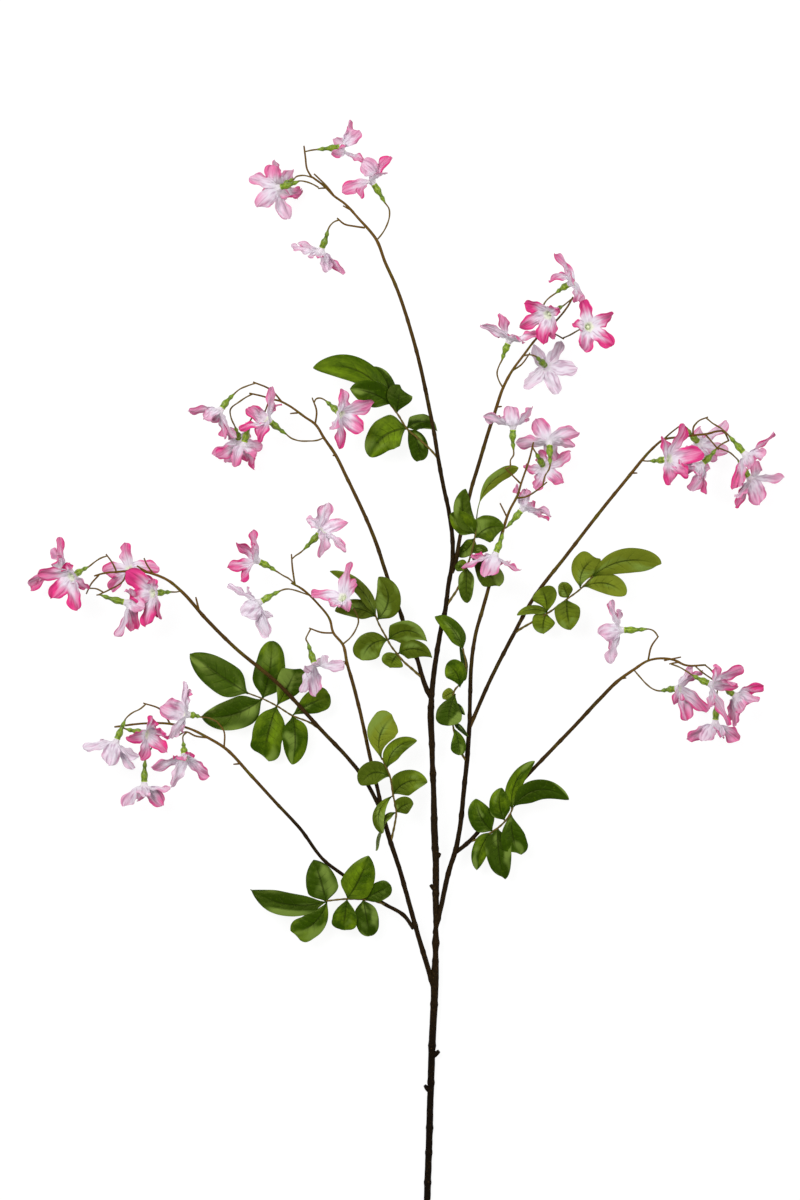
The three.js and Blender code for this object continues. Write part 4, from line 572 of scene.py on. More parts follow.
def tube(shape, points, radius, marks, sides, finish=0):
    """A closed round body. radius is given by ring, or by ring and side. marks holds the first and
    the last mark; the two between them turn with the angle."""
    n = len(points)
    across, above = carried(points)
    angle = 2 * np.pi * np.arange(sides) / sides
    radius = np.broadcast_to(np.reshape(radius, (n, -1)), (n, sides))
    ring = (points[:, None] + across[:, None] * (radius * np.cos(angle))[..., None]
            + above[:, None] * (radius * np.sin(angle))[..., None])
    full = np.empty((n, sides, MARKS_PER_POINT))
    full[..., 0], full[..., 3] = (np.reshape(mark, (-1, 1)) for mark in marks)
    full[..., 1], full[..., 2] = np.cos(angle), np.sin(angle)
    i, k = np.meshgrid(np.arange(n - 1), np.arange(sides), indexing="ij")
    j = (k + 1) % sides
    quads = np.stack((i * sides + k, (i + 1) * sides + k, (i + 1) * sides + j,
                      i * sides + j), -1).reshape(-1, 4)
    k = np.arange(sides)
    j = (k + 1) % sides
    foot, head, last = n * sides, n * sides + 1, (n - 1) * sides
    tris = np.vstack((np.stack((np.full(sides, foot), k, j), -1),
                      np.stack((np.full(sides, head), last + j, last + k), -1)))
    ends = np.vstack((points[0], points[-1]))
    end_marks = full[[0, -1], 0].copy()
    end_marks[:, 1:3] = 0
    shape.add(np.vstack((ring.reshape(-1, 3), ends)),
              np.vstack((full.reshape(-1, MARKS_PER_POINT), end_marks)), quads, tris, finish)


def sheet(shape, front, normal, thickness, marks, back_marks):
    """A thin closed blade from a grid of front points (length by width), kept off the surface."""
    n, m = front.shape[:2]
    front[..., 2] = np.maximum(front[..., 2], LEAST_HEIGHT)
    back = front - normal * np.reshape(thickness, (-1, 1, 1))
    i, k = np.meshgrid(np.arange(n - 1), np.arange(m - 1), indexing="ij")
    a = (i * m + k).ravel()
    top = np.stack((a, a + m, a + m + 1, a + 1), -1)
    low = top[:, ::-1] + n * m
    rim = np.concatenate((np.arange(m - 1), np.arange(n - 1) * m + m - 1,
                          (n - 1) * m + np.arange(m - 1, 0, -1), np.arange(n - 1, 0, -1) * m))
    after = np.roll(rim, -1)
    side = np.stack((rim, after, after + n * m, rim + n * m), -1)
    shape.add(np.stack((front, back)), np.stack((marks, back_marks)), np.vstack((top, low, side)))


# Bark: stalks and twigs of each woody piece, with the CAD node that they stand for.
WOOD = {
    "main_stem": ((TRUNK, LEADER), TRUNK_KNOBS + TOP_TWIGS),
    "upper_right_branch": ((UPPER_RIGHT_STALK,), UPPER_RIGHT_TWIGS),
    "upper_left_branch": ((UPPER_LEFT_STALK,), UPPER_LEFT_TWIGS),
    "left_branch": ((LEFT_FORK, LEFT_STALK, MIDDLE_LEFT_STALK), LEFT_TWIGS),
    "lower_left_branch": ((LOWER_LEFT_STALK,), LOWER_LEFT_TWIGS),
    "right_branch": ((RIGHT_FORK, MIDDLE_STALK, RIGHT_STALK, LOWER_RIGHT_STALK),
                     MIDDLE_TWIGS + RIGHT_TWIGS),
}
STALK_STEP = 1.8
STALK_FACES = 14
TWIG_STEP = 1.2
TWIG_FACES = 9
PEDICEL_FACES = 10
LEAST_RADIUS = 0.35
THICK_STEM_RADIUS = 3.0
THIN_TWIG_RADIUS = 0.7
THIN_TWIG_GROWTH = 0.2
END_NARROWING = 0.86
YOUNG_BARK_FROM = (-260, -60)
FOOT_BARK_FROM = (-270, -400)
FIRST_NODE = (8, 20)
NODE_SPACING = (24, 46)
LAST_NODE_MARGIN = 6
NODE_SWELL = 0.16
NODE_WIDTH = 2.2
PHASE_RANGE = (0, 6)
# A mark that follows a length grows by one in every centimetre.
MARK_LENGTH = 10


def route_of(rows, step):
    """Smoothed points and radii of a sheet route."""
    points = np.array([[*at(x, y, z), r] for x, y, z, r in rows])
    smooth = resample(points, step)
    return smooth[:, :3], np.maximum(smooth[:, 3], LEAST_RADIUS)


def softened(noise):
    """Evens out random values along a tube and round it."""
    for _ in range(2):
        noise = (np.roll(noise, 1, 1) + 2 * noise + np.roll(noise, -1, 1)) / 4
        noise[1:-1] = (noise[:-2] + 2 * noise[1:-1] + noise[2:]) / 4
    return noise


def add_stalk(shape, rows, draw, relief, step, sides):
    """One barked stalk or twig: swollen nodes, a lumpy skin and slightly narrowed ends."""
    points, radius = route_of(rows, step)
    s = lengths(points)
    swell = np.zeros(len(s))
    where = draw.uniform(*FIRST_NODE)
    while where < s[-1] - LAST_NODE_MARGIN and sides == STALK_FACES:
        swell += NODE_SWELL * np.exp(-((s - where) / NODE_WIDTH) ** 2)
        where += draw.uniform(*NODE_SPACING)
    lumps = softened(draw.normal(0, 1, (len(s), sides)))
    thin = ease(THICK_STEM_RADIUS, THIN_TWIG_RADIUS, radius)
    skin = radius[:, None] * (1 + swell[:, None] + THIN_TWIG_GROWTH * thin[:, None])
    skin = skin + relief * lumps * (1.2 - thin[:, None])
    skin[[0, -1]] *= END_NARROWING
    tint = thin * ease(*YOUNG_BARK_FROM, points[:, 1]) - ease(*FOOT_BARK_FROM, points[:, 1])
    tube(shape, points, skin, (s / MARK_LENGTH, tint), sides)


# Calyxes. A point of the profile is the share of the length from the foot, then the radius.
CALYX_LENGTH = 23
CALYX_PROFILE = ((-0.04, 0.75), (0.02, 1.0), (0.1, 1.35), (0.2, 2.1), (0.27, 2.3), (0.35, 1.75),
                 (0.42, 1.85), (0.5, 2.25), (0.6, 3.2), (0.7, 3.6), (0.8, 3.3), (0.9, 2.95),
                 (0.97, 3.2), (1.0, 2.9))
CALYX_FACES = 20
CALYX_RINGS = 44
CALYX_RIBS = 5
CALYX_RIB_DEPTH = 0.16
CALYX_LUMPS = 0.12
CALYX_SWAY = 0.7
PEDICEL_GRIP = 0.1
PEDICEL_WAVE = 0.1
PEDICEL_WAVE_LENGTH = 2.1


def calyx_of(bloom):
    """Foot, top and direction of a bloom's calyx."""
    bx, by, tx, ty = bloom["calyx"]
    rise = math.sqrt(max(CALYX_LENGTH**2 - (tx - bx) ** 2 - (ty - by) ** 2, 0))
    top = at(tx, ty, bloom["z"])
    foot = at(bx, by, bloom["z"] - rise * bloom["lean"])
    return foot, top, unit(top - foot)


def add_calyx(shape, bloom, draw, pedicel_radius):
    """A bloom's curved pedicel and, on its end, the two-knobbed calyx."""
    foot, top, axis = calyx_of(bloom)
    start, *flat = bloom["pedicel"]
    rows = [at(x, y, 0) for x, y in zip(flat[::2], flat[1::2])] + [foot.copy()]
    run = lengths(np.array(rows) * (1, 1, 0))
    for p, share in zip(rows, run / run[-1]):
        p[2] = start + (foot[2] - start) * share
    rows.append(foot + (top - foot) * PEDICEL_GRIP)
    stem = resample(np.array(rows), TWIG_STEP)
    run = lengths(stem)
    wave = PEDICEL_WAVE * np.sin(run / PEDICEL_WAVE_LENGTH + draw.uniform(*PHASE_RANGE))
    tube(shape, stem, pedicel_radius * (1 + wave), (run / MARK_LENGTH, 0), PEDICEL_FACES, finish=1)
    share = np.linspace(CALYX_PROFILE[0][0], 1, CALYX_RINGS)
    knots, radii = np.array(CALYX_PROFILE).T
    radius = spline(knots, radii, share)
    angle = 2 * np.pi * np.arange(CALYX_FACES) / CALYX_FACES
    ribs = np.cos(CALYX_RIBS * angle + draw.uniform(*PHASE_RANGE))
    lumps = softened(draw.normal(0, CALYX_LUMPS, (CALYX_RINGS, CALYX_FACES)))
    skin = radius[:, None] + (CALYX_RIB_DEPTH * ribs + lumps) * ease(0.05, 0.6, share)[:, None]
    sway = np.sin(share * np.pi) * draw.uniform(-CALYX_SWAY, CALYX_SWAY)
    points = foot + (top - foot) * share[:, None] + side_of(axis) * sway[:, None]
    tube(shape, points, skin, (share, draw.uniform()), CALYX_FACES)


# Leaves. A point of an outline is the share of the length, then the share of the full width. One
# outline is for plain leaves and one for leaves that are fullest towards the tip.
LEAF_OUTLINE = ((0, 0.05), (0.04, 0.1), (0.09, 0.33), (0.16, 0.67), (0.26, 0.93), (0.38, 1.0),
                (0.5, 0.98), (0.62, 0.92), (0.74, 0.8), (0.85, 0.6), (0.93, 0.38), (0.98, 0.18),
                (1, 0.06))
LEAF_OUTLINE_TIPWARDS = ((0, 0.05), (0.05, 0.07), (0.1, 0.15), (0.2, 0.36), (0.32, 0.62),
                         (0.45, 0.84), (0.58, 0.98), (0.7, 1.0), (0.8, 0.95), (0.89, 0.79),
                         (0.95, 0.57), (0.985, 0.33), (1, 0.12))
# How blunt a leaf's tip is, and how far one of its corners stands out, where it isn't pointed.
LEAF_TIPS = {
    "top": {0: (-0.8, 0), 3: (0.6, 3), 4: (1.1, 0), 6: (0.7, -1)},
    "upper_right": {0: (-1.5, 0), 1: (0.4, 0), 5: (0.8, 2), 7: (0.6, 0)},
    "right": {0: (0.4, 2), 1: (0.6, -3), 3: (0.8, 0)},
    "upper_left": {3: (0.8, 0)},
    "middle": {0: (0.6, 1), 5: (0.6, 0), 8: (0.8, 0)},
    "left": {2: (1.0, 0), 3: (2.0, -2), 4: (2.4, 4), 6: (0.9, 0)},
    "middle_left": {0: (0.8, 1)},
    "lower_right": {4: (1.2, 3), 5: (0.5, 2)},
    "lower_left": {0: (-1.5, 0), 2: (1.8, -3), 4: (1.5, 0), 5: (0.8, 0), 6: (0.7, 0)},
}
RIB_WAVE = 0.12
RIB_WAVE_PACE = 0.9
LEAF_ROWS = 34
LEAF_COLUMNS = 15
LEAF_ROW_SPACING = 1.25
# What a leaf's row may leave out: sideways bow, arch, tilt, and fullness towards the tip.
LEAF_HABITS = (0, 3, 0, 0)
TIP_BLUNTNESS = 0.14
WIDEST_SHARE = 1.02
LEAST_LEAF_WIDTH = 1.0
LEAF_FOLD = 0.07
LEAF_CURL = 0.06
LEAF_CURL_CHANGE = (0.2, 1.2)
LEAF_WAVE = (0.3, 0.9)
LEAF_WAVE_PACE = (5, 9)
LEAF_TAPER = 0.75
LEAF_FOOT_THICKENING = 0.9
SIDE_VEINS = 6.5
VEIN_SWEEP = 1.15


def leaf_width(t, full, tipwards, blunt):
    """Width along a leaf. Its outline lies between the plain one and the one fullest at the tip."""
    plain = spline(*np.array(LEAF_OUTLINE).T, t)
    late = spline(*np.array(LEAF_OUTLINE_TIPWARDS).T, t)
    share = plain + (late - plain) * tipwards
    share = share + blunt * TIP_BLUNTNESS * ease(0.65, 0.95, t) * ease(1.04, 0.97, t)
    return np.maximum(full * np.minimum(share, WIDEST_SHARE), LEAST_LEAF_WIDTH)


def add_leaf(shape, row, tip_style, draw, thickness, relief, olive):
    """One leaf blade, folded along its midrib, with pressed side veins."""
    fx, fy, tx, ty, seen, fz, tz, *habits = row
    bow, arch, tilt, tipwards = (*habits, *LEAF_HABITS[len(habits):])
    blunt, corner = tip_style
    foot, tip = at(fx, fy, fz), at(tx, ty, tz)
    straight = tip - foot
    left = unit(np.cross(Z_AXIS, straight))
    t = 1 - (1 - np.linspace(0, 1, LEAF_ROWS)) ** LEAF_ROW_SPACING
    hump = (4 * t * (1 - t))[:, None]
    centre = foot + straight * t[:, None] + left * bow * hump + Z_AXIS * arch * hump
    along = unit(np.gradient(centre, axis=0))
    flat = unit(np.cross(Z_AXIS, along))
    steep = np.cross(along, flat)
    lean = math.radians(tilt)
    wide = flat * math.cos(lean) + steep * math.sin(lean)
    normal = np.cross(along, wide)
    full = seen / math.cos(lean)
    u = np.linspace(-1, 1, LEAF_COLUMNS)[None, :]
    edge = np.abs(u)
    right = (u[0] > 0).astype(int)
    t2, w = t[:, None], leaf_width(t, full, tipwards, blunt)[:, None]
    curl = draw.uniform(*LEAF_CURL_CHANGE) * full * LEAF_CURL
    wave = draw.uniform(*LEAF_WAVE) * np.sin(
        t2 * draw.uniform(*LEAF_WAVE_PACE) + draw.uniform(*PHASE_RANGE, 2)[right])
    vein = t2 * SIDE_VEINS - edge * VEIN_SWEEP
    lift = (-LEAF_FOLD * w * (1 - edge) ** 1.3 - curl * edge**2.5 * ease(0, 0.3, t2)
            + wave * edge**2 + relief * np.cos(2 * np.pi * vein)
            * ease(0.08, 0.3, edge) * ease(1.0, 0.8, edge) * ease(0.1, 0.25, t2))
    slant = corner * u * ease(0.7, 1, t2)
    front = (centre[:, None] + wide[:, None] * (u * w / 2)[..., None]
             + normal[:, None] * lift[..., None] + along[:, None] * slant[..., None])
    marks = np.empty((*front.shape[:2], MARKS_PER_POINT))
    marks[..., 0], marks[..., 1] = t2, u * 0.5 + 0.5
    marks[..., 2], marks[..., 3] = draw.uniform(), olive
    back = marks.copy()
    back[..., 3] = 1
    taper = thickness * (LEAF_TAPER + LEAF_FOOT_THICKENING * ease(0.12, 0.0, t))
    sheet(shape, front, normal[:, None], taper, marks, back)


# Blooms: five petals whose narrow feet make the tube, and a pale plug in the throat.
# A point of the outline is the share of the length from the neck, then the share of the full width.
TUBE_LENGTH = 3.4
TUBE_RADIUS = 3.4
PETAL_REACH = 26
PETAL_WIDTH = 15
PETAL_FULLNESS = 1.17
PETAL_FOOT = -0.26
PETAL_FOOT_WIDTH = 5.4
PETAL_NECK_WIDTH = 5.6
LEAST_FULLNESS = 0.85
WIDEST_AT = 0.7
LEAST_SHARE = 0.6
PETAL_OUTLINE = ((0.1, 0.58), (0.2, 0.75), (0.32, 0.87), (0.46, 0.95), (0.6, 1.0), (0.72, 1.0),
                 (0.82, 0.98), (0.9, 0.88), (0.955, 0.71), (0.985, 0.5), (1, 0.26))
PETAL_ROWS = 32
PETAL_COLUMNS = 15
PETAL_ROW_SPACING = 1.35
PETAL_ROOM = 1.65
LEAST_PETAL_WIDTH = 5.5
# Distances along the calyx's axis and out from it: in the tube, at its mouth, where the petal
# spreads, and the bend from there towards its tip.
IN_TUBE = (0.2, 2.3)
AT_MOUTH = (2.4, 3.1)
PETAL_ROOT = (0.45, 3.8)
PETAL_BEND = (4.6, 5)
ROUTE_POINTS = 14
FACING_VIEWER = 0.05
PETALS = 5
FIFTH = 2 * math.pi / PETALS
# Nicks in a petal's edge: depth as a share of the width, then the range of their pace.
NICKS = ((0.045, 7, 12), (0.025, 18, 27))
PETAL_PHASE = (0, 6.3)
WIDTH_CHANGE = (-0.07, 0.07)
TUBE_SLANT = 0.14
RUFFLE_PACE = (11, 19)
CREASES = 4
CREASE_PACE = (3, 11)
CREASE_SLANT = (-7, 7)
CREASE_HEIGHT = (0.5, 1)
EDGE_CURL = (-1.0, 1.7)
MIDDLE_DIP = 0.55
TIP_CURL = (-2.8, 0.8)
PETAL_VEIN_HEIGHT = 0.12
PETAL_VEIN_PACE = 17
END_SLANT = (-2.6, 2.6)
CORNER_CUT = (0, 1.4)
POINT_LENGTH = (0.2, 1.1)
POINT_PLACE = (-0.7, 0.7)
POINT_WIDTH = 0.2
HEAT_CHANGE = (0.8, 1.2)
BACK_HEAT = 0.7
# The fourth mark of a petal is a chance value, raised by one half on its back.
PETAL_CHANCE = (0.05, 0.45)
BACK_RAISE = 0.5
THROAT_RINGS = 8
THROAT_FACES = 15
THROAT_RADIUS = 1.9
THROAT_NARROWING = 1.3
THROAT_START = 0.5
THROAT_SHORTENING = 0.4


def width_across(along, share, like):
    """The direction across a blade, tilted until it shows the wanted share of its width."""
    flat = np.cross(Z_AXIS, along)
    if np.linalg.norm(flat) < FACING_VIEWER:
        return unit(like - along * np.dot(like, along))
    flat = unit(flat)
    steep = unit(np.cross(along, flat))
    flat *= 1 if flat @ like >= 0 else -1
    steep *= 1 if steep @ like >= 0 else -1
    return unit(flat * share + steep * math.sqrt(max(0, 1 - share * share)))


def stepped(start, axis, out, way):
    """The point some way along an axis, and out from it."""
    return start + axis * way[0] + out * way[1]


def petal_routes(bloom):
    """A bloom's calyx top, neck and axis, and the midlines of its petals, in turn order."""
    _, top, axis = calyx_of(bloom)
    neck = top + axis * TUBE_LENGTH
    side = side_of(axis)
    rear = np.cross(axis, side)
    found = []
    for number, (x, y, depth, width) in enumerate(bloom["petals"]):
        flat = at(x, y, neck[2]) - neck
        tip = neck + flat + Z_AXIS * depth * math.sqrt(max(PETAL_REACH**2 - flat @ flat, 0))
        tip[2] = max(tip[2], bloom.get("floor", tip[2]))
        found.append((math.atan2((tip - neck) @ rear, (tip - neck) @ side), tip, width, number))
    found.sort(key=lambda p: p[0])
    turns = [p[0] - i * FIFTH for i, p in enumerate(found)]
    start = math.atan2(sum(map(math.sin, turns)), sum(map(math.cos, turns)))
    routes = []
    for i, (_, tip, width, number) in enumerate(found):
        out = side * math.cos(start + i * FIFTH) + rear * math.sin(start + i * FIFTH)
        root = stepped(neck, axis, out, PETAL_ROOT)
        bend = stepped(root, axis, out, PETAL_BEND)
        q = np.linspace(0, 1, ROUTE_POINTS)[:, None]
        arc = root * (1 - q) ** 2 + bend * 2 * q * (1 - q) + tip * q * q
        lead = np.array([stepped(top, axis, out, way) for way in (IN_TUBE, AT_MOUTH)])
        knots = np.concatenate(((PETAL_FOOT, PETAL_FOOT / 2), q[:, 0]))
        routes.append({"knots": knots, "points": np.vstack((lead, arc)), "out": out, "tip": tip,
                       "root": root, "width": width, "number": number})
    return top, neck, axis, routes


def petal_width(route, others, t):
    """Width along a petal, held back where its neighbours leave it little room."""
    full = max(route["width"], PETAL_WIDTH * LEAST_FULLNESS) * PETAL_FULLNESS
    knots, shares = np.array(PETAL_OUTLINE).T
    width = spline(np.concatenate(((PETAL_FOOT, 0), knots)),
                   np.concatenate(((PETAL_FOOT_WIDTH, PETAL_NECK_WIDTH), shares * full)), t)
    widest, *near = (spline(r["knots"], r["points"], np.array((WIDEST_AT,)))
                     for r in (route, *others))
    room = min(np.linalg.norm(widest - other) for other in near)
    limit = max(room * PETAL_ROOM, LEAST_PETAL_WIDTH)
    return np.minimum(width, np.maximum(width * LEAST_SHARE, limit))


def add_petal(shape, route, others, axis, draw, look, heat):
    """One petal: its foot curls into the tube, its blade spreads, ruffles, creases and curls."""
    spaced = 1 - (1 - np.linspace(0, 1, PETAL_ROWS)) ** PETAL_ROW_SPACING
    t = PETAL_FOOT + (1 - PETAL_FOOT) * spaced
    centre = spline(route["knots"], route["points"], t)
    along = unit(np.gradient(centre, axis=0))
    around = np.cross(axis, route["out"])
    share = min(route["width"] / PETAL_WIDTH, 1)
    wide_end = width_across(unit(route["tip"] - route["root"]), share, around)
    mixed = np.clip(t, 0, 1)[:, None]
    wide = around * (1 - mixed) + wide_end * mixed
    wide = unit(wide - along * np.sum(wide * along, axis=1, keepdims=True))
    normal = np.cross(along, wide)
    width = petal_width(route, others, t)
    u = np.linspace(-1, 1, PETAL_COLUMNS)[None, :]
    edge = np.abs(u)
    right = (u[0] > 0).astype(int)
    t2 = t[:, None]
    spread = ease(0.3, 0.65, t2)
    nick = sum(depth * np.sin(t2 * draw.uniform(*pace, 2)[right]
                              + draw.uniform(*PETAL_PHASE, 2)[right])
               for depth, *pace in NICKS)
    w = width[:, None] * (1 + (nick + draw.uniform(*WIDTH_CHANGE, 2)[right]) * spread)
    bend = np.maximum(ease(0.18, -0.02, t2) / TUBE_RADIUS, 1e-3)
    turn = u * w / 2 * bend
    lateral, lift = np.sin(turn) / bend, (1 - np.cos(turn)) / bend
    lift = lift + TUBE_SLANT * u * ease(0.3, 0, t2)
    phase = draw.uniform(*PETAL_PHASE, 2)[right]
    pace = draw.uniform(*RUFFLE_PACE, 2)[right]
    waves = zip(*(draw.uniform(*ends, CREASES)
                  for ends in (CREASE_PACE, CREASE_SLANT, PETAL_PHASE)))
    creases = sum(draw.uniform(*CREASE_HEIGHT) * np.sin(t2 * f + u * g + p) for f, g, p in waves)
    lift = (lift + look["ruffle"] * edge**2.2 * np.sin(t2 * pace + phase) * spread
            + look["crease"] * creases * ease(0.25, 0.6, t2)
            + draw.uniform(*EDGE_CURL, 2)[right] * edge**2 * spread
            - MIDDLE_DIP * (1 - edge) ** 2 * ease(0.15, 0.4, t2)
            + draw.uniform(*TIP_CURL) * ease(0.72, 1.05, t2) ** 2
            + PETAL_VEIN_HEIGHT * np.cos(u * PETAL_VEIN_PACE) * ease(0.1, 0.35, t2) * (1 - edge**4))
    skew = ((draw.uniform(*END_SLANT) * u - draw.uniform(*CORNER_CUT) * edge**2) * ease(0.6, 1, t2)
            + draw.uniform(*POINT_LENGTH)
            * np.exp(-((u - draw.uniform(*POINT_PLACE)) / POINT_WIDTH) ** 2) * ease(0.8, 1, t2))
    front = (centre[:, None] + wide[:, None] * lateral[..., None]
             + normal[:, None] * lift[..., None] + along[:, None] * skew[..., None])
    hot = heat * draw.uniform(*HEAT_CHANGE)
    reach = t2 + 0.12 * edge + 0.05 * np.sin(u * 9 + phase)
    marks = np.empty((*front.shape[:2], MARKS_PER_POINT))
    marks[..., 0] = hot * (0.72 * ease(0.25, 1.05, reach)
                           + 0.4 * ease(0.55, 1, edge) * ease(0.3, 0.7, t2)
                           - 0.05 * creases * ease(0.2, 0.6, t2))
    marks[..., 1], marks[..., 2] = np.maximum(t2, 0), u * 0.5 + 0.5
    marks[..., 3] = draw.uniform(*PETAL_CHANCE)
    back = marks.copy()
    back[..., 0] *= BACK_HEAT
    back[..., 3] += BACK_RAISE
    sheet(shape, front, normal[:, None], np.full(len(t), look["thickness"]), marks, back)


def add_corolla(shape, bloom, draw, look, heats):
    """A bloom's tube, throat and petals."""
    top, neck, axis, routes = petal_routes(bloom)
    for i, route in enumerate(routes):
        others = (routes[i - 1], routes[(i + 1) % PETALS])
        add_petal(shape, route, others, axis, draw, look, heats[route["number"] % len(heats)])
    rise = np.linspace(0, 1, THROAT_RINGS)
    reach = neck - top - axis * THROAT_SHORTENING
    core = top + axis * THROAT_START + reach * rise[:, None]
    radius = THROAT_RADIUS - THROAT_NARROWING * rise**3
    tube(shape, core, radius, (rise, 0), THROAT_FACES, finish=1)


# Tints: the strength of the pink by bloom, or by petal where a bloom has five, the leaves that
# show their olive under face, and how far the other leaves of a spray take on its colour.
HEATS = {
    "top": (0.85, 0.95, 0.7, (0.85, 0.85, 0.8, 1.5, 1.1), 1.25),
    "upper_right": (0.85, 1.25, 0.8, 1.2, 0.3),
    "upper_left": (0.75, 1.0, 1.15, 1.1, 0.95),
    "left": (1.15, 1.2, 1.15, 1.3, 0.95),
    "middle_left": (0.6, 1.05, 0.3, 0.42, 0.75),
    "lower_left": (0.35, 1.0, 0.55, (0.7, 0.4, 0.8, 1.6, 1.4), 0.7),
    "middle": (0.75, 1.05, 1.4, 0.8, 1.15),
    "right": (1.15, 0.9, 1.0, 1.1, 1.0),
    "lower_right": (0.6, 0.8, 0.95, 1.25, 0.75),
}
OLIVE_LEAVES = {"upper_right": (0,), "right": (0, 1, 2), "middle": (4,), "middle_left": (0,)}
SPRAY_OLIVE = {"right": 0.5, "upper_left": 0.4, "middle_left": 0.3, "upper_right": 0.12}


class Graph:
    """A few words for making a material's nodes."""

    def __init__(self, name):
        self.material = bpy.data.materials.new(name)
        self.material.use_nodes = True
        self.nodes = self.material.node_tree.nodes
        self.shader = self.nodes["Principled BSDF"]

    def wire(self, value, socket):
        if isinstance(value, bpy.types.NodeSocket):
            self.material.node_tree.links.new(value, socket)
        elif value is not None:
            socket.default_value = value

    def math(self, kind, a, b=None, c=None):
        node = self.nodes.new("ShaderNodeMath")
        node.operation = kind
        for value, socket in zip((a, b, c), node.inputs):
            self.wire(value, socket)
        return node.outputs[0]

    def times(self, a, b):
        return self.math("MULTIPLY", a, b)

    def marks(self):
        """The four marks of each point: red, green, blue and alpha."""
        node = self.nodes.new("ShaderNodeAttribute")
        node.attribute_name = "marks"
        parts = self.nodes.new("ShaderNodeSeparateColor")
        self.wire(node.outputs["Color"], parts.inputs[0])
        return [*parts.outputs, node.outputs["Alpha"]]

    def vector(self, x, y, z):
        node = self.nodes.new("ShaderNodeCombineXYZ")
        for value, socket in zip((x, y, z), node.inputs):
            self.wire(value, socket)
        return node.outputs[0]

    def noise(self, vector, scale, detail=2.0, rough=0.5):
        node = self.nodes.new("ShaderNodeTexNoise")
        self.wire(vector, node.inputs["Vector"])
        node.inputs["Scale"].default_value = scale
        node.inputs["Detail"].default_value = detail
        node.inputs["Roughness"].default_value = rough
        return node.outputs["Fac"]

    def place(self):
        """The point in its object, in metres."""
        node = self.nodes.new("ShaderNodeTexCoord")
        return node.outputs["Object"]

    def mix(self, share, a, b, kind="MIX"):
        node = self.nodes.new("ShaderNodeMix")
        node.data_type, node.blend_type = "RGBA", kind
        self.wire(share, node.inputs[0])
        self.wire(a, node.inputs[6])
        self.wire(b, node.inputs[7])
        return node.outputs[2]

    def step(self, value, low, high, bottom=0.0, top=1.0):
        """A soft step of a value from low to high."""
        node = self.nodes.new("ShaderNodeMapRange")
        node.interpolation_type = "SMOOTHSTEP"
        for wanted, socket in zip((value, low, high, bottom, top), node.inputs):
            self.wire(wanted, socket)
        return node.outputs[0]

    def ramp(self, value, *stops):
        """A colour for a value, between stops of a place and a colour each."""
        node = self.nodes.new("ShaderNodeValToRGB")
        self.wire(value, node.inputs[0])
        bands = node.color_ramp.elements
        while len(bands) < len(stops):
            bands.new(0.5)
        for band, (where, colour) in zip(bands, stops):
            band.position, band.color = where, colour
        return node.outputs[0]

    def finish(self, colour, rough, height=None, depth=0.0, specular=0.5, **fixed):
        """Sets the shader. height is bumped by depth metres, and fixed names further sockets."""
        self.wire(colour, self.shader.inputs["Base Color"])
        self.wire(rough, self.shader.inputs["Roughness"])
        self.shader.inputs["Specular IOR Level"].default_value = specular
        for name, value in fixed.items():
            self.shader.inputs[name.replace("_", " ")].default_value = value
        if height is not None:
            bump = self.nodes.new("ShaderNodeBump")
            bump.inputs["Strength"].default_value = 1.0
            bump.inputs["Distance"].default_value = depth
            self.wire(height, bump.inputs["Height"])
            self.wire(bump.outputs[0], self.shader.inputs["Normal"])
        return self.material


def shade(colour, factor):
    """A colour made darker or lighter."""
    return (*(min(c * factor, 1) for c in colour[:3]), 1.0)


def blend(a, b, share):
    """A colour between two others."""
    return (*(x + (y - x) * share for x, y in zip(a[:3], b[:3])), 1.0)


def bark_material(settings):
    """Rough dark bark with fibres along the stem, browner and olive in the thin twigs; painted shade in
    the fibre grooves and painted highlight on the fibre ridges.
    """
    g = Graph("Jasmine bark")
    s, x, y, thin = g.marks()
    fibres = g.noise(g.vector(g.times(s, 0.9), x, y), 4.2, 4, 0.6)
    specks = g.noise(g.place(), 900, 2, 0.6)
    patches = g.noise(g.place(), 55)
    dark, twig, olive = settings.bark_color, settings.twig_color, settings.olive_color
    old = g.mix(g.step(thin, -1.0, 0.0), shade(dark, 0.3), (*dark, 1))
    base = g.mix(g.step(thin, 0.42, 0.95), old, (*twig, 1))
    base = g.mix(g.times(g.step(patches, 0.5, 0.7), g.step(thin, 0.4, 0.85)), base, (*olive, 1))
    # Painted shade: where the fibres run low, in the grooves of the bump, the bark is mixed far towards
    # a darkened bark colour.
    base = g.mix(g.step(fibres, 0.3, 0.55), g.mix(0.7, base, shade(dark, 0.3)), base)
    # Painted highlight: where the fibres run high, on the ridges of the bump, the bark is lightened
    # towards a shaded twig brown.
    ridge_highlight = g.times(g.step(fibres, 0.52, 0.72), g.step(thin, -0.9, 0.0, 0.1, 0.35))
    base = g.mix(ridge_highlight, base, shade(twig, 0.55))
    lit = g.mix(g.times(g.step(specks, 0.6, 0.78), 0.55), base, (*twig, 1))
    height = g.math("ADD", fibres, g.times(specks, 0.5))
    return g.finish(lit, g.step(fibres, 0.3, 0.7, 0.75, 0.6), height, 0.00035, 0.05)


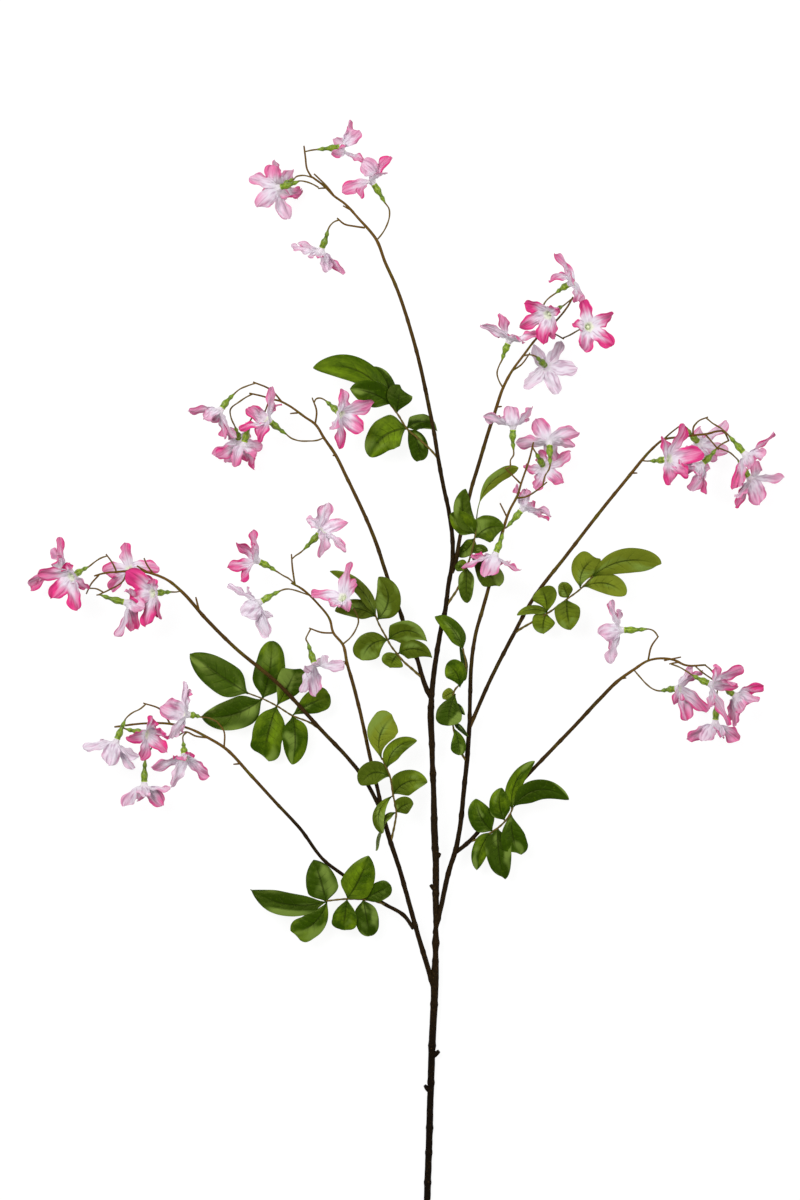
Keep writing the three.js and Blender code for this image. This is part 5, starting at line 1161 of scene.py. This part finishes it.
def calyx_material(settings):
    """Glossy yellow-green plastic, darker at the foot and in the waist."""
    g = Graph("Jasmine calyx")
    s, x, y, chance = g.marks()
    streaks = g.noise(g.vector(g.times(s, 1.6), x, y), 3.0, 3, 0.55)
    green, light = settings.calyx_color, settings.calyx_light_color
    base = g.mix(g.step(streaks, 0.35, 0.68), (*green, 1), (*light, 1))
    base = g.mix(g.step(s, 0.12, -0.04), base, (*settings.olive_color, 1))
    waist = g.times(g.step(s, 0.28, 0.36), g.step(s, 0.52, 0.4))
    base = g.mix(g.times(waist, 0.45), base, shade(green, 0.45))
    base = g.mix(g.times(chance, 0.35), base, shade(green, 0.55))
    base = g.mix(g.step(s, 0.94, 1.0), base, shade(light, 1.25))
    return g.finish(base, 0.3, streaks, 0.0004, 0.35)


def pedicel_material(settings):
    """Brown plastic with olive bands."""
    g = Graph("Jasmine pedicel")
    s, x, y, _ = g.marks()
    bands = g.noise(g.vector(g.times(s, 1.4), x, y), 3.5, 3, 0.6)
    base = g.mix(g.step(bands, 0.4, 0.65), (*settings.twig_color, 1), (*settings.olive_color, 1))
    return g.finish(base, 0.5, bands, 0.0003, 0.15)


def leaf_material(settings):
    """Coated green cloth: dark midrib and side veins, lighter patches, painted sheen patches, an olive
    under face.
    """
    g = Graph("Jasmine leaf")
    t, across, chance, back = g.marks()
    edge = g.math("ABSOLUTE", g.math("MULTIPLY_ADD", across, 2.0, -1.0))
    vein = g.math("SUBTRACT", g.times(t, SIDE_VEINS), g.times(edge, VEIN_SWEEP))
    line = g.math("ABSOLUTE", g.math("SUBTRACT", g.math("FRACT", vein), 0.5))
    side = g.times(g.step(line, 0.07, 0.0), g.step(edge, 0.8, 0.25))
    side = g.times(side, g.step(t, 0.9, 0.6))
    midrib = g.times(g.step(edge, 0.1, 0.02), g.step(t, 0.98, 0.55))
    seed = g.vector(g.math("MULTIPLY_ADD", chance, 9.0, t), across, chance)
    cloud = g.noise(seed, 1.7)
    grain = g.noise(g.place(), 420, 3, 0.6)
    fine = g.noise(g.vector(vein, g.times(edge, 2.5), chance), 2.6, 3, 0.6)
    dark, light, under = settings.leaf_color, settings.leaf_light_color, settings.leaf_under_color
    tone = g.math("ADD", g.times(cloud, 0.75), g.times(fine, 0.25))
    tone = g.math("ADD", tone, g.math("MULTIPLY_ADD", chance, 0.3, -0.15))
    top = g.ramp(tone, (0.3, shade(dark, 0.65)), (0.55, (*dark, 1)), (0.7, shade(light, 0.8)),
                 (0.84, shade(light, 1.4)))
    low = g.mix(g.step(cloud, 0.4, 0.65), shade(under, 0.72), (*under, 1))
    base = g.mix(back, top, low)
    base = g.mix(g.times(g.step(grain, 0.55, 0.75), 0.25), base, shade(light, 1.25))
    # Painted sheen: greyer green patches stand in for the glossy reflection on the leaves.
    painted_sheen = g.noise(g.vector(t, across, g.times(chance, 31.0)), 1.7, 1)
    base = g.mix(g.times(g.step(painted_sheen, 0.52, 0.7), 0.8), base, (*settings.leaf_sheen_color, 1))
    base = g.mix(g.times(side, 0.4), base, shade(dark, 0.5))
    base = g.mix(g.times(midrib, 0.75), base, shade(dark, 0.35))
    foot = g.mix(g.step(t, 0.2, 0.02), base, shade(dark, 0.7))
    height = g.math("SUBTRACT", g.times(fine, 0.6), g.math("ADD", side, g.times(midrib, 1.2)))
    height = g.math("ADD", height, g.times(grain, 0.25))
    return g.finish(foot, g.step(cloud, 0.35, 0.65, 0.36, 0.5), height, 0.00025, 0.25,
                    Specular_Tint=(0.75, 0.85, 0.2, 1))


def rib_material(settings):
    """Olive brown plastic with green bands."""
    g = Graph("Jasmine leaf rib")
    s, x, y, _ = g.marks()
    bands = g.noise(g.vector(g.times(s, 0.8), x, y), 3.0, 3, 0.6)
    base = g.mix(g.step(bands, 0.4, 0.68), (*settings.rib_color, 1), shade(settings.leaf_color, 0.8))
    return g.finish(base, 0.55, bands, 0.0002, 0.15)


def petal_material(settings):
    """Soft dyed cloth: white-lilac at the throat, pink to hot pink at the edge, fine veins, painted
    shade in folds.
    """
    g = Graph("Jasmine petal")
    dye, t, across, chance = g.marks()
    back = g.step(chance, 0.48, 0.52)
    fan = g.vector(g.times(across, 7.0), g.times(t, 0.8), g.times(chance, 40.0))
    veins = g.noise(fan, 2.6, 3, 0.6)
    cloud = g.noise(g.vector(g.times(across, 1.4), t, g.times(chance, 77.0)), 2.2)
    weave = g.noise(g.place(), 2400)
    tone = g.math("MULTIPLY_ADD", g.math("SUBTRACT", veins, 0.5), 0.55, dye)
    tone = g.math("MULTIPLY_ADD", g.math("SUBTRACT", cloud, 0.5), 0.65, tone)
    white, pink, hot = settings.petal_white, settings.petal_pink, settings.petal_hot
    face = g.ramp(tone, (0.06, (*white, 1)), (0.3, blend(white, pink, 0.45)),
                  (0.52, (*pink, 1)), (0.92, (*hot, 1)))
    rear = g.ramp(tone, (0.04, shade(white, 0.97)), (0.3, (*settings.petal_back, 1)),
                  (0.62, (*pink, 1)), (1.0, blend(pink, hot, 0.6)))
    base = g.mix(back, face, rear)
    # Painted shade: mauve is multiplied over noise folds across the petal, weaker near the throat.
    folds = g.noise(g.vector(g.times(across, 3.2), g.times(t, 1.1), g.times(chance, 55.0)), 2.0, 1)
    depth = g.times(g.step(folds, 0.46, 0.72), g.step(t, 0.02, 0.25, 0.1, 0.8))
    base = g.mix(depth, base, (*settings.petal_fold_shade, 1), "MULTIPLY")
    throat = g.times(g.step(t, 0.17, 0.0), g.math("MULTIPLY_ADD", back, -0.75, 0.85))
    base = g.mix(throat, base, (*settings.throat_color, 1))
    height = g.math("ADD", veins, g.times(weave, 0.35))
    return g.finish(base, 0.75, height, 0.0005, 0.12, Sheen_Weight=0.15, Sheen_Roughness=0.4)


def throat_material(settings):
    """Pale green-white, greener in the throat's depth."""
    g = Graph("Jasmine throat")
    rise, *_ = g.marks()
    speck = g.noise(g.place(), 700)
    base = g.mix(g.step(rise, 0.3, 1.0), (*settings.throat_color, 1),
                 (*settings.throat_deep_color, 1))
    base = g.mix(g.times(speck, 0.2), base, shade(settings.throat_color, 0.8))
    return g.finish(base, 0.6, speck, 0.0002, 0.2)


def floor_material(settings):
    """Pale and matte, with a glow that makes the ground of the picture white."""
    g = Graph("Pale floor")
    mottle = g.noise(g.place(), 1.5)
    base = g.mix(g.times(mottle, 0.04), (*settings.floor_color, 1),
                 shade(settings.floor_color, 0.96))
    return g.finish(base, 0.9, specular=0.0, Emission_Color=(1, 1, 1, 1),
                    Emission_Strength=settings.floor_glow)


# The heads, the woody pieces that bear them, and the seeds of the random draws.
HEADS = tuple(BLOOMS)
WOOD_HEADS = {
    "main_stem": ("top",), "upper_right_branch": ("upper_right",),
    "upper_left_branch": ("upper_left",), "left_branch": ("left", "middle_left"),
    "lower_left_branch": ("lower_left",), "right_branch": ("middle", "right", "lower_right"),
}
BARK_SEED = 100
CALYX_SEED = 200
LEAF_SEED = 300
BLOOM_SEED = 400

# The stage, in metres. The sensor is in millimetres, like the lens.
STUDIO = "jasmine_studio"
SENSOR_WIDTH = 36
FOCUS_HEIGHT = 0.038
CLIP_END = 100
FLOOR_DROP = -0.0005
FLOOR_REACH = 12.0
SOFT_LIGHTS = (("key_light", (-1.6, 1.4, 3.0), 2.4, 1.0),
               ("fill_light", (2.0, 0.4, 2.6), 2.4, 0.5))


def colour(name, about, default):
    return bpy.props.FloatVectorProperty(name=name, description=about, subtype="COLOR", size=3,
                                         min=0, max=1, default=default)


def distance(name, about, default):
    return bpy.props.FloatProperty(name=name, description=about, subtype="DISTANCE",
                                   unit="LENGTH", min=0, default=default)


class JasmineWood(bpy.types.PropertyGroup):
    """Bark, pedicels and calyxes."""

    bark_color: colour("Bark", "Dark bark of the thick stems", (0.015, 0.0078, 0.0022))
    twig_color: colour("Twig", "Brown of the thin twigs", (0.16, 0.084, 0.016))
    olive_color: colour("Olive twig", "Olive patches on twigs and pedicels", (0.125, 0.095, 0.009))
    calyx_color: colour("Calyx", "Green of the calyxes", (0.095, 0.175, 0.006))
    calyx_light_color: colour("Calyx light", "Lighter green of the calyxes",
                              (0.32, 0.45, 0.03))
    bark_relief: distance("Bark relief", "Height of the lumps in the bark", 0.00024)
    pedicel_radius: distance("Pedicel radius", "Half the thickness of a pedicel", 0.0008)


class JasmineLeaves(bpy.types.PropertyGroup):
    """Leaf blades and ribs."""

    leaf_color: colour("Leaf", "Deep green of the leaves", (0.024, 0.058, 0.0004))
    leaf_light_color: colour("Leaf light", "Lighter patches of the leaves",
                             (0.1, 0.17, 0.003))
    # Painted sheen: the greyer green of the patches that stand in for glossy reflection.
    leaf_sheen_color: colour("Leaf sheen", "Greyer green of worn patches",
                             (0.17, 0.25, 0.042))
    leaf_under_color: colour("Leaf under face", "Olive of the under faces",
                             (0.165, 0.205, 0.014))
    rib_color: colour("Rib", "Olive brown of the leaf ribs", (0.16, 0.097, 0.018))
    thickness: distance("Thickness", "Thickness of a leaf", 0.0006)
    vein_relief: distance("Vein relief", "Height of the swelling between side veins", 0.00016)


class JasmineBlooms(bpy.types.PropertyGroup):
    """Petals and throats."""

    petal_white: colour("Petal white", "White-lilac of the inner half", (0.77, 0.7, 0.78))
    petal_pink: colour("Petal pink", "Pink of the outer half", (0.72, 0.27, 0.45))
    petal_hot: colour("Petal hot pink", "Hot pink of the edges", (0.7, 0.045, 0.225))
    petal_back: colour("Petal back", "Lilac-pink of the backs", (0.73, 0.53, 0.65))
    # Painted shade: the mauve multiplied over the petals' folds.
    petal_fold_shade: colour("Petal fold", "Shade laid over the folds", (0.62, 0.46, 0.56))
    throat_color: colour("Throat", "Green-white of the throat", (0.8, 0.84, 0.66))
    throat_deep_color: colour("Throat depth", "Green at the bottom of the throat",
                              (0.68, 0.74, 0.48))
    thickness: distance("Thickness", "Thickness of a petal", 0.00035)
    ruffle: distance("Ruffle", "Height of the waves along a petal's edge", 0.0013)
    crease: distance("Crease", "Height of the creases across a petal", 0.0007)


class JasmineStudio(bpy.types.PropertyGroup):
    """Floor, lights and camera."""

    floor_color: colour("Floor", "Pale floor", (0.14, 0.14, 0.14))
    floor_glow: bpy.props.FloatProperty(name="Floor glow", description="Light through the floor",
                                        min=0, default=0.9)
    sky_color: colour("Sky", "Even light from all round", (1.0, 1.0, 1.0))
    sky_strength: bpy.props.FloatProperty(name="Sky strength", description="Even light",
                                          min=0, default=0.28)
    key_power: bpy.props.FloatProperty(name="Key power", description="Main soft light",
                                       subtype="POWER", unit="POWER", min=0, default=100)
    lens: bpy.props.FloatProperty(name="Lens", description="Focal length",
                                  subtype="DISTANCE_CAMERA", min=50, default=250)
    frame_height: distance("Frame height", "Height of what the camera sees", 1.2)


class AddBark(bpy.types.Operator):
    """Builds the barked stem and its five branches"""

    bl_idname = "jasmine.add_bark"
    bl_label = "Bark"

    def execute(self, context):
        look = context.scene.jasmine_wood
        bark = bark_material(look)
        for number, (name, (stalks, twigs)) in enumerate(WOOD.items()):
            shape, draw = Shape(), np.random.default_rng(BARK_SEED + number)
            for rows in stalks:
                add_stalk(shape, rows, draw, look.bark_relief / MM, STALK_STEP, STALK_FACES)
            for rows in twigs:
                add_stalk(shape, rows, draw, look.bark_relief / MM, TWIG_STEP, TWIG_FACES)
            shape.piece("bark_" + name, (bark,), "stem", (name,))
        return {"FINISHED"}


class AddCalyxes(bpy.types.Operator):
    """Builds the pedicels and green calyxes of each head"""

    bl_idname = "jasmine.add_calyxes"
    bl_label = "Calyxes"

    def execute(self, context):
        look = context.scene.jasmine_wood
        finishes = (calyx_material(look), pedicel_material(look))
        for name, heads in WOOD_HEADS.items():
            for head in heads:
                shape, draw = Shape(), np.random.default_rng(CALYX_SEED + HEADS.index(head))
                for bloom in BLOOMS[head]:
                    add_calyx(shape, bloom, draw, look.pedicel_radius / MM)
                shape.piece("calyxes_" + head, finishes, "calyx", (name,))
        return {"FINISHED"}


class AddLeafSprays(bpy.types.Operator):
    """Builds the nine leafy sprays"""

    bl_idname = "jasmine.add_leaf_sprays"
    bl_label = "Leaf sprays"

    def execute(self, context):
        look = context.scene.jasmine_leaves
        finishes = (leaf_material(look), rib_material(look))
        for number, (name, spray) in enumerate(SPRAYS.items()):
            shape, draw = Shape(), np.random.default_rng(LEAF_SEED + number)
            points, radius = route_of(spray["rib"], TWIG_STEP)
            run = lengths(points)
            tube(shape, points, radius * (1 + RIB_WAVE * np.sin(run * RIB_WAVE_PACE)),
                 (run / MARK_LENGTH, 0), PEDICEL_FACES, finish=1)
            for leaf, row in enumerate(spray["leaves"]):
                olive = 1.0 if leaf in OLIVE_LEAVES.get(name, ()) else SPRAY_OLIVE.get(name, 0.0)
                add_leaf(shape, row, LEAF_TIPS[name].get(leaf, (0, 0)), draw,
                         look.thickness / MM, look.vein_relief / MM, olive)
            shape.piece("leaves_" + name, finishes, "leaf", ("leaf_spray_" + name,))
        return {"FINISHED"}


class AddBlooms(bpy.types.Operator):
    """Builds the blooms of all nine heads"""

    bl_idname = "jasmine.add_blooms"
    bl_label = "Blooms"

    def execute(self, context):
        look = context.scene.jasmine_blooms
        finishes = (petal_material(look), throat_material(look))
        sizes = {"thickness": look.thickness / MM, "ruffle": look.ruffle / MM,
                 "crease": look.crease / MM}
        for place, (head, blooms) in enumerate(BLOOMS.items()):
            slot = "petal_pale" if head == "middle_left" else "petal"
            for number, bloom in enumerate(blooms):
                shape = Shape()
                draw = np.random.default_rng(BLOOM_SEED + 10 * place + number)
                heat = HEATS[head][number]
                heats = heat if isinstance(heat, tuple) else (heat,)
                add_corolla(shape, bloom, draw, sizes, heats)
                name = f"{head}_{number + 1}"
                shape.piece("corolla_" + name, finishes, slot, ("bloom_" + name,))
        return {"FINISHED"}


class SetStage(bpy.types.Operator):
    """Lays the pale floor and sets the soft lights and the camera"""

    bl_idname = "jasmine.set_stage"
    bl_label = "Stage"

    def execute(self, context):
        look = context.scene.jasmine_studio
        mesh = bpy.data.meshes.new("floor")
        corners = [(x * FLOOR_REACH, y * FLOOR_REACH, 0)
                   for x, y in ((-1, -1), (1, -1), (1, 1), (-1, 1))]
        mesh.from_pydata(corners, [], [(0, 1, 2, 3)])
        mesh.materials.append(floor_material(look))
        floor = bpy.data.objects.new("floor", mesh)
        floor.location.z = FLOOR_DROP
        context.scene.collection.objects.link(floor)
        world = bpy.data.worlds.new(STUDIO)
        world.use_nodes = True
        sky = world.node_tree.nodes["Background"]
        sky.inputs["Color"].default_value = (*look.sky_color, 1)
        sky.inputs["Strength"].default_value = look.sky_strength
        context.scene.world = world
        for name, place, size, share in SOFT_LIGHTS:
            lamp = bpy.data.lights.new(name, "AREA")
            lamp.shape, lamp.size = "DISK", size
            lamp.energy = look.key_power * share
            holder = bpy.data.objects.new(name, lamp)
            holder.location = place
            holder.rotation_euler = (-mathutils.Vector(place)).to_track_quat("-Z", "Y").to_euler()
            context.scene.collection.objects.link(holder)
        lens = bpy.data.cameras.new("camera")
        lens.lens, lens.sensor_width, lens.sensor_fit = look.lens, SENSOR_WIDTH, "AUTO"
        camera = bpy.data.objects.new("camera", lens)
        away = look.frame_height * look.lens / SENSOR_WIDTH
        x, y, _ = at(SHEET_WIDTH / 2, SHEET_HEIGHT / 2, 0)
        camera.location = (x * MM, y * MM, away + FOCUS_HEIGHT)
        lens.clip_end = CLIP_END
        context.scene.collection.objects.link(camera)
        context.scene.camera = camera
        context.scene.view_settings.view_transform = "Standard"
        context.scene.view_settings.look = "None"
        return {"FINISHED"}


class StemPanel(bpy.types.Panel):
    """Lists the sizes, colours and pieces of the jasmine stem."""

    bl_idname = "VIEW3D_PT_jasmine_stem"
    bl_label = "Jasmine stem"
    bl_space_type = "VIEW_3D"
    bl_region_type = "UI"
    bl_category = "Jasmine"

    def draw(self, context):
        for kind, place in SETTINGS.items():
            box = self.layout.box()
            box.label(text=kind.__doc__)
            group = getattr(context.scene, place)
            for name in kind.__annotations__:
                box.prop(group, name)
        for step in STEPS:
            self.layout.operator(step.bl_idname)


SETTINGS = {JasmineWood: "jasmine_wood", JasmineLeaves: "jasmine_leaves",
            JasmineBlooms: "jasmine_blooms", JasmineStudio: "jasmine_studio"}
STEPS = (AddBark, AddCalyxes, AddLeafSprays, AddBlooms, SetStage)


def register():
    for kind in (*SETTINGS, *STEPS, StemPanel):
        bpy.utils.register_class(kind)
    for kind, name in SETTINGS.items():
        setattr(bpy.types.Scene, name, bpy.props.PointerProperty(type=kind))


def unregister():
    for name in SETTINGS.values():
        delattr(bpy.types.Scene, name)
    for kind in reversed((*SETTINGS, *STEPS, StemPanel)):
        bpy.utils.unregister_class(kind)


def main():
    """Builds everything."""
    register()
    bpy.ops.jasmine.add_bark()
    bpy.ops.jasmine.add_calyxes()
    bpy.ops.jasmine.add_leaf_sprays()
    bpy.ops.jasmine.add_blooms()
    bpy.ops.jasmine.set_stage()


if __name__ == "__main__":
    main()
